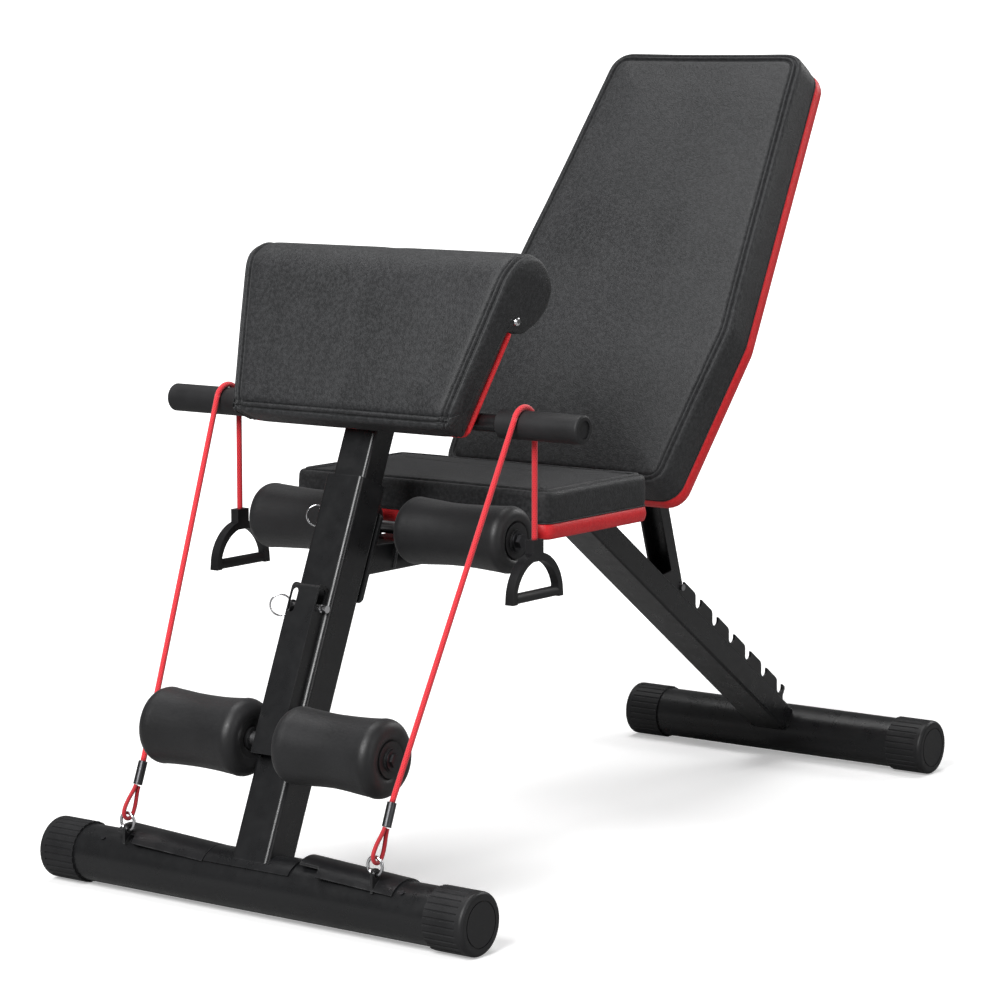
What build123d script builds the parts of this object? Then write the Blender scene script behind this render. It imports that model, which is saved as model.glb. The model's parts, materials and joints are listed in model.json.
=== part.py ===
"""Adjustable exercise bench: seat, backrest on a notched strut, leg rollers, arm pad, hand cords.

X runs across the bench (left is -X), -Y is the front with the leg rollers, +Y the back, +Z up.
The floor is Z = 0 and the two foot axes lie evenly about Y = 0. Side-view points are (y, z).
"""
from build123d import *
import os
from math import sin, cos, tan, radians, atan2, hypot

os.makedirs("parts", exist_ok=True)

# ================================================================ SHARED SIZES
SIDES = (("left", -1), ("right", 1))
GAP = 0.05                   # between pieces that touch
WALL = 2.0                   # wall of the steel tubes
CUT_X = 40.0                 # side-view cuts run from -CUT_X to CUT_X
WALL_CUT = 30.0              # depth from -CUT_X that cuts the left wall only

# bolts: shank radius, hole radius, half across the flats, head height
M6_R, M6_HOLE_R, M6_HEX, M6_HEAD = 3.0, 3.1, 5.0, 4.0
M8_R, M8_HOLE_R, M8_HEX, M8_HEAD = 4.0, 4.1, 6.5, 5.0
BIG_HEX = 8.5                # half across the flats of the pivot bolt and the pad pin's boss

# ---------------------------------------------------------------- feet
FOOT_PITCH = 1001.0          # front foot axis to rear foot axis
FRONT_Y = -FOOT_PITCH / 2
REAR_Y = FOOT_PITCH / 2
FOOT_R = 30.0
CAP_R = 32.5
FOOT_Z = CAP_R               # the end caps stand on the floor
FRONT_FOOT = (FRONT_Y, FOOT_Z)
REAR_FOOT = (REAR_Y, FOOT_Z)
FRONT_HALF = 280.0           # half widths over the caps
REAR_HALF = 215.0

# ---------------------------------------------------------------- rail
RAIL_W = 50.0
RAIL_H = 30.0
SEAT_RAIL_Z = 348.0          # axis of the level part under the seat
RAIL_TOP = SEAT_RAIL_Z + RAIL_H / 2
BEND_Y = FRONT_Y + 554.0
RAIL_SLOPE = atan2(SEAT_RAIL_Z - FOOT_Z, REAR_Y - BEND_Y)      # below level, to the rear

# ---------------------------------------------------------------- front post
# s is measured up the post from the front foot axis, o behind the post's axis
LEAN = radians(22.5)         # top towards the seat
POST_W = 48.0                # outer tube across the bench
POST_F, POST_B = -27.0, 16.5           # o of its front and back faces
POST_LOW, POST_TOP = 16.0, 427.0       # s of its ends
PAD_W = 42.0                 # inner tube, which carries the arm pad
PAD_F, PAD_B = -20.0, 13.5
PAD_POST_LOW, PAD_POST_TOP = 300.0, 588.0
PAD_MID_O = (PAD_F + PAD_B) / 2
PAD_DEPTH = PAD_B - PAD_F
PAD_PIN_S = 388.0            # pull pin that locks the inner tube


def post(s, o):
    """Side-view point s up the post, o behind its axis."""
    return (
        FRONT_Y + s * sin(LEAN) + o * cos(LEAN),
        FOOT_Z + s * cos(LEAN) - o * sin(LEAN),
    )


def post_box(s_low, s_top, o_front, o_back):
    """Side-view corners of a rectangle lined up with the post."""
    return [
        post(s_low, o_front),
        post(s_low, o_back),
        post(s_top, o_back),
        post(s_top, o_front),
    ]


def post_plane(s):
    """Plane square to the post: local x is X, local y points behind the post."""
    return Plane(origin=(0, *post(s, 0)), x_dir=(1, 0, 0), z_dir=(0, sin(LEAN), cos(LEAN)))


def post_face(o):
    """Plane parallel to the post's front: local y runs up the post, normal to the front."""
    return Plane(origin=(0, *post(0, o)), x_dir=(1, 0, 0), z_dir=(0, -cos(LEAN), sin(LEAN)))


def side(x):
    """Side-view plane at X = x: local x is Y, local y is Z."""
    return Plane(origin=(x, 0, 0), x_dir=(0, 1, 0), z_dir=(1, 0, 0))


def across(x, centre, way):
    """Plane square to X about a side-view centre, its normal to +X (way 1) or -X (way -1)."""
    return Plane(origin=(x, *centre), x_dir=(0, 1, 0), z_dir=(way, 0, 0))


def rail(s, h):
    """Side-view point s down the sloping rail from its bend, h above its axis."""
    return (
        BEND_Y + s * cos(RAIL_SLOPE) + h * sin(RAIL_SLOPE),
        SEAT_RAIL_Z - s * sin(RAIL_SLOPE) + h * cos(RAIL_SLOPE),
    )


def foot_ray(ahead, reach):
    """Side-view point at a reach from the front foot axis, in degrees ahead of straight up."""
    angle = radians(ahead)
    return (FRONT_Y - reach * sin(angle), FOOT_Z + reach * cos(angle))


def save(builder, name):
    """Label a finished piece and write its STEP file."""
    piece = builder.part
    piece.label = name
    export_step(piece, f"parts/{name}.step")


# ================================================================ FEET
TUBE_INSET = 6.0             # tube end inside the cap's end
CAP_FLOOR = TUBE_INSET - 0.1
CAP_L = 48.0
CAP_RIM_R = 4.5
FLUTES, FLUTE_R = 28, 1.5
FLUTE_ORBIT = CAP_R + 0.5
FLUTE_START = 9.0            # behind the plain rim
RING_OUT_R, RING_IN_R, RING_DEPTH = 24.0, 22.5, 1.0

# small button-head screws on the front foot, beside the foot plates
BUTTON_XS = (-198.0, 198.0)
BUTTON_AHEAD = 40.0          # degrees ahead of the tube's top
BUTTON_R, BUTTON_H = 2.6, 1.6
BUTTON_SHANK_R, BUTTON_SHANK_L = 1.5, 5.0
BUTTON_HOLE_R, BUTTON_HOLE_L = 1.6, 8.0


def button_plane(x, way):
    """Plane on the front foot's surface at a button screw: way 1 faces out, -1 inwards."""
    angle = radians(BUTTON_AHEAD)
    return Plane(
        origin=(x, *foot_ray(BUTTON_AHEAD, FOOT_R)),
        x_dir=(1, 0, 0),
        z_dir=(0, -way * sin(angle), way * cos(angle)),
    )


def foot_tube(name, centre, half_width, hole_xs=()):
    """Round foot tube, with screw holes at hole_xs."""
    tube_half = half_width - TUBE_INSET
    with BuildPart() as tube:
        with BuildSketch(side(-tube_half)):
            with Locations(centre):
                Circle(FOOT_R)
                Circle(FOOT_R - WALL, mode=Mode.SUBTRACT)
        extrude(amount=2 * tube_half)
        for x in hole_xs:
            with BuildSketch(button_plane(x, -1)):
                Circle(BUTTON_HOLE_R)
            extrude(amount=BUTTON_HOLE_L, mode=Mode.SUBTRACT)
    save(tube, name)


def end_caps(name, centre, half_width):
    """Pair of caps: fluted sleeve over the tube end, plain rounded rim, closed end."""
    with BuildPart() as caps:
        for way in (-1, 1):
            with BuildSketch(across(way * half_width, centre, -way)):
                Circle(CAP_R)
            extrude(amount=CAP_L)
        fillet(caps.edges().filter_by(GeomType.CIRCLE).sort_by(Axis.X)[0], CAP_RIM_R)
        fillet(caps.edges().filter_by(GeomType.CIRCLE).sort_by(Axis.X)[-1], CAP_RIM_R)
        for way in (-1, 1):
            with BuildSketch(across(way * (half_width - CAP_FLOOR), centre, -way)):
                Circle(FOOT_R + GAP)
            extrude(amount=CAP_L, mode=Mode.SUBTRACT)
            with BuildSketch(across(way * (half_width - FLUTE_START), centre, -way)):
                with PolarLocations(FLUTE_ORBIT, FLUTES):
                    Circle(FLUTE_R)
            extrude(amount=CAP_L, mode=Mode.SUBTRACT)
            # recessed ring on the end face
            with BuildSketch(across(way * half_width, centre, -way)):
                Circle(RING_OUT_R)
                Circle(RING_IN_R, mode=Mode.SUBTRACT)
            extrude(amount=RING_DEPTH, mode=Mode.SUBTRACT)
    save(caps, name)


foot_tube("front_foot_tube", FRONT_FOOT, FRONT_HALF, hole_xs=BUTTON_XS)
foot_tube("rear_foot_tube", REAR_FOOT, REAR_HALF)
end_caps("front_end_caps", FRONT_FOOT, FRONT_HALF)
end_caps("rear_end_caps", REAR_FOOT, REAR_HALF)

# ================================================================ FRONT POST
BORE_PLAY = 0.6              # all round the inner tube
POST_CORNER_R, BORE_CORNER_R = 5.0, 3.5
POST_CUT_R = 32.2            # clears the saddle
POST_PIN_HOLE_R = 5.1

with BuildPart() as front_post:
    with BuildSketch(post_plane(POST_LOW)):
        with Locations((0, (POST_F + POST_B) / 2)):
            RectangleRounded(POST_W, POST_B - POST_F, POST_CORNER_R)
        with Locations((0, PAD_MID_O)):
            RectangleRounded(
                PAD_W + 2 * BORE_PLAY, PAD_DEPTH + 2 * BORE_PLAY, BORE_CORNER_R,
                mode=Mode.SUBTRACT,
            )
    extrude(amount=POST_TOP - POST_LOW)
    # round cut at the foot
    with BuildSketch(side(-CUT_X)):
        with Locations(FRONT_FOOT):
            Circle(POST_CUT_R)
    extrude(amount=2 * CUT_X, mode=Mode.SUBTRACT)
    # pull pin hole in the left wall
    with BuildSketch(side(-CUT_X)):
        with Locations(post(PAD_PIN_S, 0)):
            Circle(POST_PIN_HOLE_R)
    extrude(amount=WALL_CUT, mode=Mode.SUBTRACT)
save(front_post, "front_post")

# curved sheet between the foot tube and the post
SADDLE_HALF = 56.0
SADDLE_OUT_R, SADDLE_IN_R = 32.15, FOOT_R + GAP
WEDGE_REACH, WEDGE_TOP = 60.0, 90.0    # trimming wedges reach beyond the sheets

with BuildPart() as post_saddle:
    with BuildSketch(side(-SADDLE_HALF)):
        with Locations(FRONT_FOOT):
            Circle(SADDLE_OUT_R)
            Circle(SADDLE_IN_R, mode=Mode.SUBTRACT)
        with BuildLine():
            Polyline(
                FRONT_FOOT,
                foot_ray(50, WEDGE_REACH),
                foot_ray(0, WEDGE_TOP),
                foot_ray(-60, WEDGE_REACH),
                close=True,
            )
        make_face(mode=Mode.INTERSECT)
    extrude(amount=2 * SADDLE_HALF)
save(post_saddle, "post_saddle")

# sheets over the foot tube that carry the cord hooks, each tilted up towards its left end
PLATE_XS = (-184.0, 62.0)    # left ends
PLATE_W = 124.0
PLATE_TILT = radians(3)
PLATE_OUT_R, PLATE_IN_R = 32.5, 30.1
LIP_CUT_START, LIP_CUT_END = FRONT_Y - 60, FRONT_Y - 16
LIP_CUT = [(-5, 0), (36, 0), (30, -63), (24, -70), (-5, -70)]  # from the left end, minus height
HOOK_X = 164.0
LUGS = ((-HOOK_X, 5.0), (HOOK_X, 0.8))  # X, lift of the lug's curved foot
LUG_Y, LUG_EYE_Z = FRONT_Y - 19, FOOT_Z + 36.5
LUG_R, LUG_EYE_R, LUG_T = 6.5, 3.0, 3.0
LUG_DROP = 18.0              # eye centre to the bottom of the lug before its foot is cut
LUG_FOOT_R = 31.0

with BuildPart() as cord_hook_plates:
    for plate_x in PLATE_XS:
        with BuildSketch(
            Plane(
                origin=(plate_x + PLATE_W, 0, 0),
                x_dir=(0, 1, 0),
                z_dir=(cos(PLATE_TILT), 0, -sin(PLATE_TILT)),
            )
        ):
            with Locations(FRONT_FOOT):
                Circle(PLATE_OUT_R)
                Circle(PLATE_IN_R, mode=Mode.SUBTRACT)
            with BuildLine():
                Polyline(
                    FRONT_FOOT,
                    foot_ray(52, WEDGE_REACH),
                    (FRONT_Y - 20, FOOT_Z + WEDGE_TOP),
                    foot_ray(-48, WEDGE_REACH),
                    close=True,
                )
            make_face(mode=Mode.INTERSECT)
        extrude(amount=-PLATE_W)
        # the front lip stops short of the lifted end
        with BuildSketch(
            Plane(origin=(plate_x, LIP_CUT_START, 0), x_dir=(1, 0, 0), z_dir=(0, 1, 0))
        ):
            with BuildLine():
                Polyline(*LIP_CUT, close=True)
            make_face()
        extrude(amount=LIP_CUT_END - LIP_CUT_START, mode=Mode.SUBTRACT)
    # upstanding lugs for the snap rings
    for x, lift in LUGS:
        with BuildSketch(side(x - LUG_T / 2)):
            with Locations((LUG_Y, LUG_EYE_Z)):
                Circle(LUG_R)
            with Locations((LUG_Y, LUG_EYE_Z - LUG_DROP / 2)):
                Rectangle(2 * LUG_R, LUG_DROP)
            with Locations((FRONT_Y, FOOT_Z + lift)):
                Circle(LUG_FOOT_R, mode=Mode.SUBTRACT)
            with Locations((LUG_Y, LUG_EYE_Z)):
                Circle(LUG_EYE_R, mode=Mode.SUBTRACT)
        extrude(amount=LUG_T)
save(cord_hook_plates, "cord_hook_plates")

# ================================================================ MAIN RAIL
END_PLATE_T = 4.0
END_PLATE_O = POST_B + GAP + END_PLATE_T         # back face of the rail's end plate
RAIL_START_O = END_PLATE_O + GAP
RAIL_EDGE_R = 3.0
PIVOT = (FRONT_Y + 562.0, 348.0)       # backrest pivot through the rail
PIVOT_R = 5.0


def rail_profile(half_height):
    """Closed side outline of the bent rail."""
    miter = half_height * tan(RAIL_SLOPE / 2)
    length = hypot(REAR_Y - BEND_Y, SEAT_RAIL_Z - FOOT_Z)
    top_z = SEAT_RAIL_Z + half_height
    bottom_z = SEAT_RAIL_Z - half_height
    start = FRONT_Y + RAIL_START_O / cos(LEAN)
    return [
        (start + (bottom_z - FOOT_Z) * tan(LEAN), bottom_z),
        (BEND_Y - miter, bottom_z),
        rail(length, -half_height),
        rail(length, half_height),
        (BEND_Y + miter, top_z),
        (start + (top_z - FOOT_Z) * tan(LEAN), top_z),
    ]


with BuildPart() as main_rail:
    with BuildSketch(side(-RAIL_W / 2)):
        with BuildLine():
            Polyline(*rail_profile(RAIL_H / 2), close=True)
        make_face()
    extrude(amount=RAIL_W)
    # the long edges only
    fillet([e for e in main_rail.edges() if e.length > 200], RAIL_EDGE_R)
    with BuildSketch(side(-RAIL_W / 2 + WALL)):
        with BuildLine():
            Polyline(*rail_profile(RAIL_H / 2 - WALL), close=True)
        make_face()
    extrude(amount=RAIL_W - 2 * WALL, mode=Mode.SUBTRACT)
    # fish-mouth at the rear foot
    with BuildSketch(side(-CUT_X)):
        with Locations(REAR_FOOT):
            Circle(FOOT_R + GAP)
    extrude(amount=2 * CUT_X, mode=Mode.SUBTRACT)
    # backrest pivot hole
    with BuildSketch(side(-CUT_X)):
        with Locations(PIVOT):
            Circle(PIVOT_R + GAP)
    extrude(amount=2 * CUT_X, mode=Mode.SUBTRACT)
save(main_rail, "main_rail")

# plate at the rail's front end, bolted to the back of the post;
# its centre is level with the rail's axis at this offset behind the post's axis
END_PLATE_LEVEL_O = 24.0
END_PLATE_S = (SEAT_RAIL_Z - FOOT_Z + END_PLATE_LEVEL_O * sin(LEAN)) / cos(LEAN)
END_BOLTS = [(0, END_PLATE_S - 36), (0, END_PLATE_S + 36)]     # X, s
END_PLATE_W, END_PLATE_L, END_PLATE_CORNER_R = POST_W + 4, 96.0, 6.0

with BuildPart() as rail_end_plate:
    with BuildSketch(post_face(END_PLATE_O)):
        with Locations((0, END_PLATE_S)):
            RectangleRounded(END_PLATE_W, END_PLATE_L, END_PLATE_CORNER_R)
        with Locations(*END_BOLTS):
            Circle(M8_HOLE_R, mode=Mode.SUBTRACT)
    extrude(amount=END_PLATE_T)
save(rail_end_plate, "rail_end_plate")

# notched rack: two toothed plates on the rail, with notches for the strut's foot pin
NOTCH = (FRONT_Y + 740.5, 244.0)       # strut foot pin in the top notch
NOTCH_COUNT, NOTCH_PITCH = 7, 45.0
NOTCH_DROP = radians(35.2)
FOOT_PIN_R = 4.0
NOTCHES = [
    (
        NOTCH[0] + k * NOTCH_PITCH * cos(NOTCH_DROP),
        NOTCH[1] - k * NOTCH_PITCH * sin(NOTCH_DROP),
    )
    for k in range(NOTCH_COUNT)
]
FIRST_S = (NOTCH[0] - BEND_Y) * cos(RAIL_SLOPE) + (SEAT_RAIL_Z - NOTCH[1]) * sin(RAIL_SLOPE)
LAST_S = FIRST_S + (NOTCH_COUNT - 1) * NOTCH_PITCH
RACK_FOOT_H = RAIL_H / 2 + GAP
TOOTH_H = 30.8
RACK_X, RACK_T = 21.5, 3.0   # outer faces of the two plates, thickness
SLOT_R = 6.5                 # the slots are wider than the pin and open upwards
SLOT_RISE = 2.0              # slot's round bottom above the pin
SLOT_CUT = 40.0              # height of the slot cut above that
SHOULDER_R = 8.0
# s down the sloping rail, h above its axis
RACK_OUTLINE = [
    (FIRST_S - 44, RACK_FOOT_H), (LAST_S + 16, RACK_FOOT_H), (LAST_S + 12.5, 17.0),
    (LAST_S + 10.8, 20.0), (LAST_S + 10.2, TOOTH_H - 2.2), (LAST_S + 8.4, TOOTH_H),
    (FIRST_S - 28, TOOTH_H),
]

with BuildPart() as notched_rack:
    for plate_x in (-RACK_X, RACK_X - RACK_T):
        with BuildSketch(side(plate_x)) as rack_face:
            with BuildLine():
                Polyline(*[rail(s, h) for s, h in RACK_OUTLINE], close=True)
            make_face()
            for y, z in NOTCHES:
                with Locations((y, z)):
                    Circle(FOOT_PIN_R + 0.4, mode=Mode.SUBTRACT)
                with Locations((y, z + SLOT_RISE)):
                    Circle(SLOT_R, mode=Mode.SUBTRACT)
                with Locations((y, z + SLOT_RISE + SLOT_CUT / 2)):
                    Rectangle(2 * SLOT_R, SLOT_CUT, mode=Mode.SUBTRACT)
            # upper corner on the front side of each slot
            shoulders = [
                v
                for v in rack_face.vertices()
                if any(abs(v.X - (y - SLOT_R)) < 0.01 and v.Y > z + 3 for y, z in NOTCHES)
            ]
            fillet(shoulders, SHOULDER_R)
        extrude(amount=RACK_T)
    with BuildSketch(side(-CUT_X)):
        with Locations(REAR_FOOT):
            Circle(FOOT_R + GAP)
    extrude(amount=2 * CUT_X, mode=Mode.SUBTRACT)
save(notched_rack, "notched_rack")

# ================================================================ ROLLER AXLES AND CARRIER
UPPER_AXLE = (FRONT_Y + 212.0, 374.0)
UPPER_IN, UPPER_OUT, UPPER_AXLE_R = 29.0, 169.5, 6.5   # roller's inner end, axle's end
LOWER_AXLE_S, LOWER_AXLE_O = 140.5, -35.2
LOWER_AXLE = post(LOWER_AXLE_S, LOWER_AXLE_O)
LOWER_IN, LOWER_OUT, LOWER_AXLE_R = 24.6, 155.0, 6.2
COLLAR_PLAY = 0.15           # collar to the roller's inner end
WASHER_R = 11.0

BRACKET_T = 3.0
BRACKET_EYE_R = 13.0
BRACKET_FOOT_HALF, BRACKET_NECK_HALF = 24.0, 12.0
BRACKET_FOOT_Z, BRACKET_NECK_Z = SEAT_RAIL_Z - 12, UPPER_AXLE[1] + 3


def axle(name, centre, radius, half_length, collar_r, collar_in, collar_out):
    """Axle across the bench with a collar on each side, from collar_in to collar_out."""
    with BuildPart() as rod:
        with BuildSketch(side(-half_length)):
            with Locations(centre):
                Circle(radius)
        extrude(amount=2 * half_length)
        for collar_x in (collar_in, -collar_out):
            with BuildSketch(side(collar_x)):
                with Locations(centre):
                    Circle(collar_r)
            extrude(amount=collar_out - collar_in)
    save(rod, name)


def axle_bolts(name, centre, axle_half, washer_t, head_h):
    """Washer and hexagon head at each end of an axle."""
    with BuildPart() as bolts:
        for way in (-1, 1):
            with BuildSketch(across(way * (axle_half + GAP), centre, way)):
                Circle(WASHER_R)
            extrude(amount=washer_t)
            with BuildSketch(across(way * (axle_half + GAP + washer_t), centre, way)):
                RegularPolygon(M8_HEX, 6, major_radius=False)
            extrude(amount=head_h)
    save(bolts, name)


with BuildPart() as upper_axle_bracket:
    for lug_x in (RAIL_W / 2 + GAP, -RAIL_W / 2 - GAP - BRACKET_T):
        with BuildSketch(side(lug_x)):
            with BuildLine():
                Polyline(
                    (UPPER_AXLE[0] - BRACKET_FOOT_HALF, BRACKET_FOOT_Z),
                    (UPPER_AXLE[0] + BRACKET_FOOT_HALF, BRACKET_FOOT_Z),
                    (UPPER_AXLE[0] + BRACKET_NECK_HALF, BRACKET_NECK_Z),
                    (UPPER_AXLE[0] - BRACKET_NECK_HALF, BRACKET_NECK_Z),
                    close=True,
                )
            make_face()
            with Locations(UPPER_AXLE):
                Circle(BRACKET_EYE_R)
                Circle(UPPER_AXLE_R + GAP, mode=Mode.SUBTRACT)
        extrude(amount=BRACKET_T)
save(upper_axle_bracket, "upper_axle_bracket")

axle(
    "upper_axle", UPPER_AXLE, UPPER_AXLE_R, UPPER_OUT, collar_r=9.5,
    collar_in=RAIL_W / 2 + BRACKET_T + 0.15, collar_out=UPPER_IN - COLLAR_PLAY,
)
axle_bolts("upper_axle_bolts", UPPER_AXLE, UPPER_OUT, washer_t=1.8, head_h=4.5)

# channel on the front of the post that carries the lower axle
CARRIER_LOW, CARRIER_TOP = 125.0, 307.0          # s
CARRIER_W, CARRIER_FRONT = 35.0, -44.5
CARRIER_WALL = 2.2
CARRIER_CORNER_R = 7.0
LOCK_S, LOCK_O, LOCK_R = 283.0, -34.0, 4.0       # the carrier's lock pin
LOCK = post(LOCK_S, LOCK_O)
# s, o of the windows in the flanks beside the lock pin
WINDOW = [
    (LOCK_S + 1, -42.2), (LOCK_S + 1, POST_F - 2.6), (CARRIER_TOP - 8, POST_F - 2.6),
    (CARRIER_TOP - 4.4, POST_F - 6), (CARRIER_TOP - 4.4, -38), (CARRIER_TOP - 7, -42.2),
]
FACE_SLOT_X, FACE_SLOT_S = -11.9, LOCK_S + 4
FACE_SLOT_L, FACE_SLOT_W = 26.0, 8.6

with BuildPart() as roller_carrier:
    with BuildSketch(side(-CARRIER_W / 2)) as flank:
        with BuildLine():
            Polyline(
                *post_box(CARRIER_LOW, CARRIER_TOP, CARRIER_FRONT, POST_F - 0.1), close=True
            )
        make_face()
        fillet(flank.vertices().sort_by(Axis.Y)[-2:], CARRIER_CORNER_R)
    extrude(amount=CARRIER_W)
    # hollow, open at the back and both ends
    hollow_front, hollow_back = CARRIER_FRONT + CARRIER_WALL, POST_F + 4
    with BuildSketch(post_plane(CARRIER_LOW - 5)):
        with Locations((0, (hollow_front + hollow_back) / 2)):
            Rectangle(CARRIER_W - 2 * CARRIER_WALL, hollow_back - hollow_front)
    extrude(amount=CARRIER_TOP - CARRIER_LOW + 10, mode=Mode.SUBTRACT)
    with BuildSketch(side(-CUT_X)):
        with BuildLine():
            Polyline(*[post(s, o) for s, o in WINDOW], close=True)
        make_face()
    extrude(amount=2 * CUT_X, mode=Mode.SUBTRACT)
    # long hole in the face, beside the lock pin
    with BuildSketch(post_face(CARRIER_FRONT - 1)):
        with Locations((FACE_SLOT_X, FACE_SLOT_S)):
            SlotOverall(FACE_SLOT_L, FACE_SLOT_W, rotation=90)
    extrude(amount=-4, mode=Mode.SUBTRACT)
    with BuildSketch(side(-CUT_X)):
        with Locations(LOCK):
            Circle(LOCK_R + 0.1)
        with Locations(LOWER_AXLE):
            Circle(LOWER_AXLE_R + GAP)
    extrude(amount=2 * CUT_X, mode=Mode.SUBTRACT)
save(roller_carrier, "roller_carrier")

# slotted strip on the post that the carrier's lock pin runs in
STRIP_T = 8.0
STRIP_LOW, STRIP_TOP, STRIP_FRONT = 218.0, 298.0, -41.0
STRIP_SLOT_L, STRIP_SLOT_R = 50.0, 4.2           # between the slot's end centres, half width

with BuildPart() as carrier_guide_strip:
    with BuildSketch(side(-STRIP_T / 2)):
        with BuildLine():
            Polyline(*post_box(STRIP_LOW, STRIP_TOP, STRIP_FRONT, POST_F - GAP), close=True)
        make_face()
        with BuildLine():
            Polyline(
                *post_box(
                    LOCK_S - STRIP_SLOT_L, LOCK_S, LOCK_O - STRIP_SLOT_R, LOCK_O + STRIP_SLOT_R
                ),
                close=True,
            )
        make_face(mode=Mode.SUBTRACT)
        with Locations(LOCK, post(LOCK_S - STRIP_SLOT_L, LOCK_O)):
            Circle(STRIP_SLOT_R, mode=Mode.SUBTRACT)
    extrude(amount=STRIP_T)
save(carrier_guide_strip, "carrier_guide_strip")

axle(
    "lower_axle", LOWER_AXLE, LOWER_AXLE_R, LOWER_OUT, collar_r=7.9,
    collar_in=CARRIER_W / 2 + 0.1, collar_out=LOWER_IN - COLLAR_PLAY,
)
axle_bolts("lower_axle_bolts", LOWER_AXLE, LOWER_OUT, washer_t=1.5, head_h=2.8)

# ================================================================ FOAM ROLLERS
HUB_R, FLANGE_R = 12.0, 18.5
FOAM_BORE_R, RECESS_R = HUB_R + 0.2, FLANGE_R + 0.5
FOAM_INSET, RECESS_INSET = 1.5, 4.5    # foam end and recess floor from the axle's end
FLANGE_INSET, FLANGE_T = 4.3, 2.4
HUB_PLAY = 0.06              # on the axle


def roller_foam(name, way, axis_point, inner, outer, radius, waist, rounding):
    """Foam sleeve with a waisted outside and a recess for the hub's flange."""
    end = outer - FOAM_INSET
    recess = outer - RECESS_INSET
    with BuildPart() as foam:
        with BuildSketch(
            Plane(origin=(0, *axis_point), x_dir=(way, 0, 0), z_dir=(0, -way, 0))
        ) as section_face:
            with BuildLine():
                Line((inner, FOAM_BORE_R), (inner, radius))
                ThreePointArc(
                    (inner, radius), ((inner + outer) / 2, radius - waist), (end, radius)
                )
                Polyline(
                    (end, radius), (end, RECESS_R), (recess, RECESS_R),
                    (recess, FOAM_BORE_R), (inner, FOAM_BORE_R),
                )
            make_face()
            fillet(section_face.vertices().group_by(Axis.Y)[-1], rounding)
        revolve(axis=Axis((0, *axis_point), (1, 0, 0)))
    save(foam, name)


def roller_hub(name, way, axis_point, inner, outer, axle_r):
    """Sleeve in the foam with an outer flange."""
    with BuildPart() as hub:
        with BuildSketch(across(way * inner, axis_point, way)):
            Circle(HUB_R)
            Circle(axle_r + HUB_PLAY, mode=Mode.SUBTRACT)
        extrude(amount=outer - inner - 0.1)
        with BuildSketch(across(way * (outer - FLANGE_INSET), axis_point, way)):
            Circle(FLANGE_R)
            Circle(axle_r + HUB_PLAY, mode=Mode.SUBTRACT)
        extrude(amount=FLANGE_T)
    save(hub, name)


for side_name, way in SIDES:
    roller_foam(
        f"roller_foam_upper_{side_name}", way, UPPER_AXLE, UPPER_IN, UPPER_OUT,
        radius=36.0, waist=3.2, rounding=9,
    )
    roller_foam(
        f"roller_foam_lower_{side_name}", way, LOWER_AXLE, LOWER_IN, LOWER_OUT,
        radius=41.5, waist=3.5, rounding=11,
    )
    roller_hub(
        f"roller_hub_upper_{side_name}", way, UPPER_AXLE, UPPER_IN, UPPER_OUT, UPPER_AXLE_R
    )
    roller_hub(
        f"roller_hub_lower_{side_name}", way, LOWER_AXLE, LOWER_IN, LOWER_OUT, LOWER_AXLE_R
    )

# ================================================================ LOCK PINS
PAD_PIN = post(PAD_PIN_S, 0)
PAD_PIN_R, PAD_PIN_L = 4.5, 10.6
PIN_BOSS_BORE_R, PIN_BOSS_L = 4.6, 4.5
PULL_RING_R, PULL_WIRE_R = 11.0, 1.0
PULL_RING_TURN = radians(36.4)         # towards the front
LOCK_START = CARRIER_W / 2 + 1.5       # where the plain shank meets the waist
LOCK_L = CARRIER_W + 6.2
LOCK_WAIST_R, LOCK_WAIST_L = 2.7, 3.0
LOCK_TIP_X, LOCK_TIP_L = CARRIER_W / 2 + 4.4, 5.1
LOCK_COLLAR_X, LOCK_COLLAR_R, LOCK_COLLAR_T = -CARRIER_W / 2 - 0.4, 6.0, 1.4


def pull_ring_location(x, centre):
    """Place of a pull ring whose wire passes through the pin at x, to the pin's left."""
    y, z = centre
    return Plane(
        origin=(x - PULL_RING_R * cos(PULL_RING_TURN), y - PULL_RING_R * sin(PULL_RING_TURN), z),
        z_dir=(sin(PULL_RING_TURN), -cos(PULL_RING_TURN), 0),
    ).location


with BuildPart() as pad_pin_boss:
    with BuildSketch(across(-POST_W / 2 - GAP, PAD_PIN, -1)):
        RegularPolygon(BIG_HEX, 6, major_radius=False)
        Circle(PIN_BOSS_BORE_R, mode=Mode.SUBTRACT)
    extrude(amount=PIN_BOSS_L)
save(pad_pin_boss, "pad_pin_boss")

with BuildPart() as pad_lock_pin:
    with BuildSketch(across(-PAD_W / 2 - 0.3, PAD_PIN, -1)):
        Circle(PAD_PIN_R)
    extrude(amount=PAD_PIN_L)
    with Locations(pull_ring_location(-POST_W / 2 - 6.1, PAD_PIN)):
        Torus(PULL_RING_R, PULL_WIRE_R)
save(pad_lock_pin, "pad_lock_pin")

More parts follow.
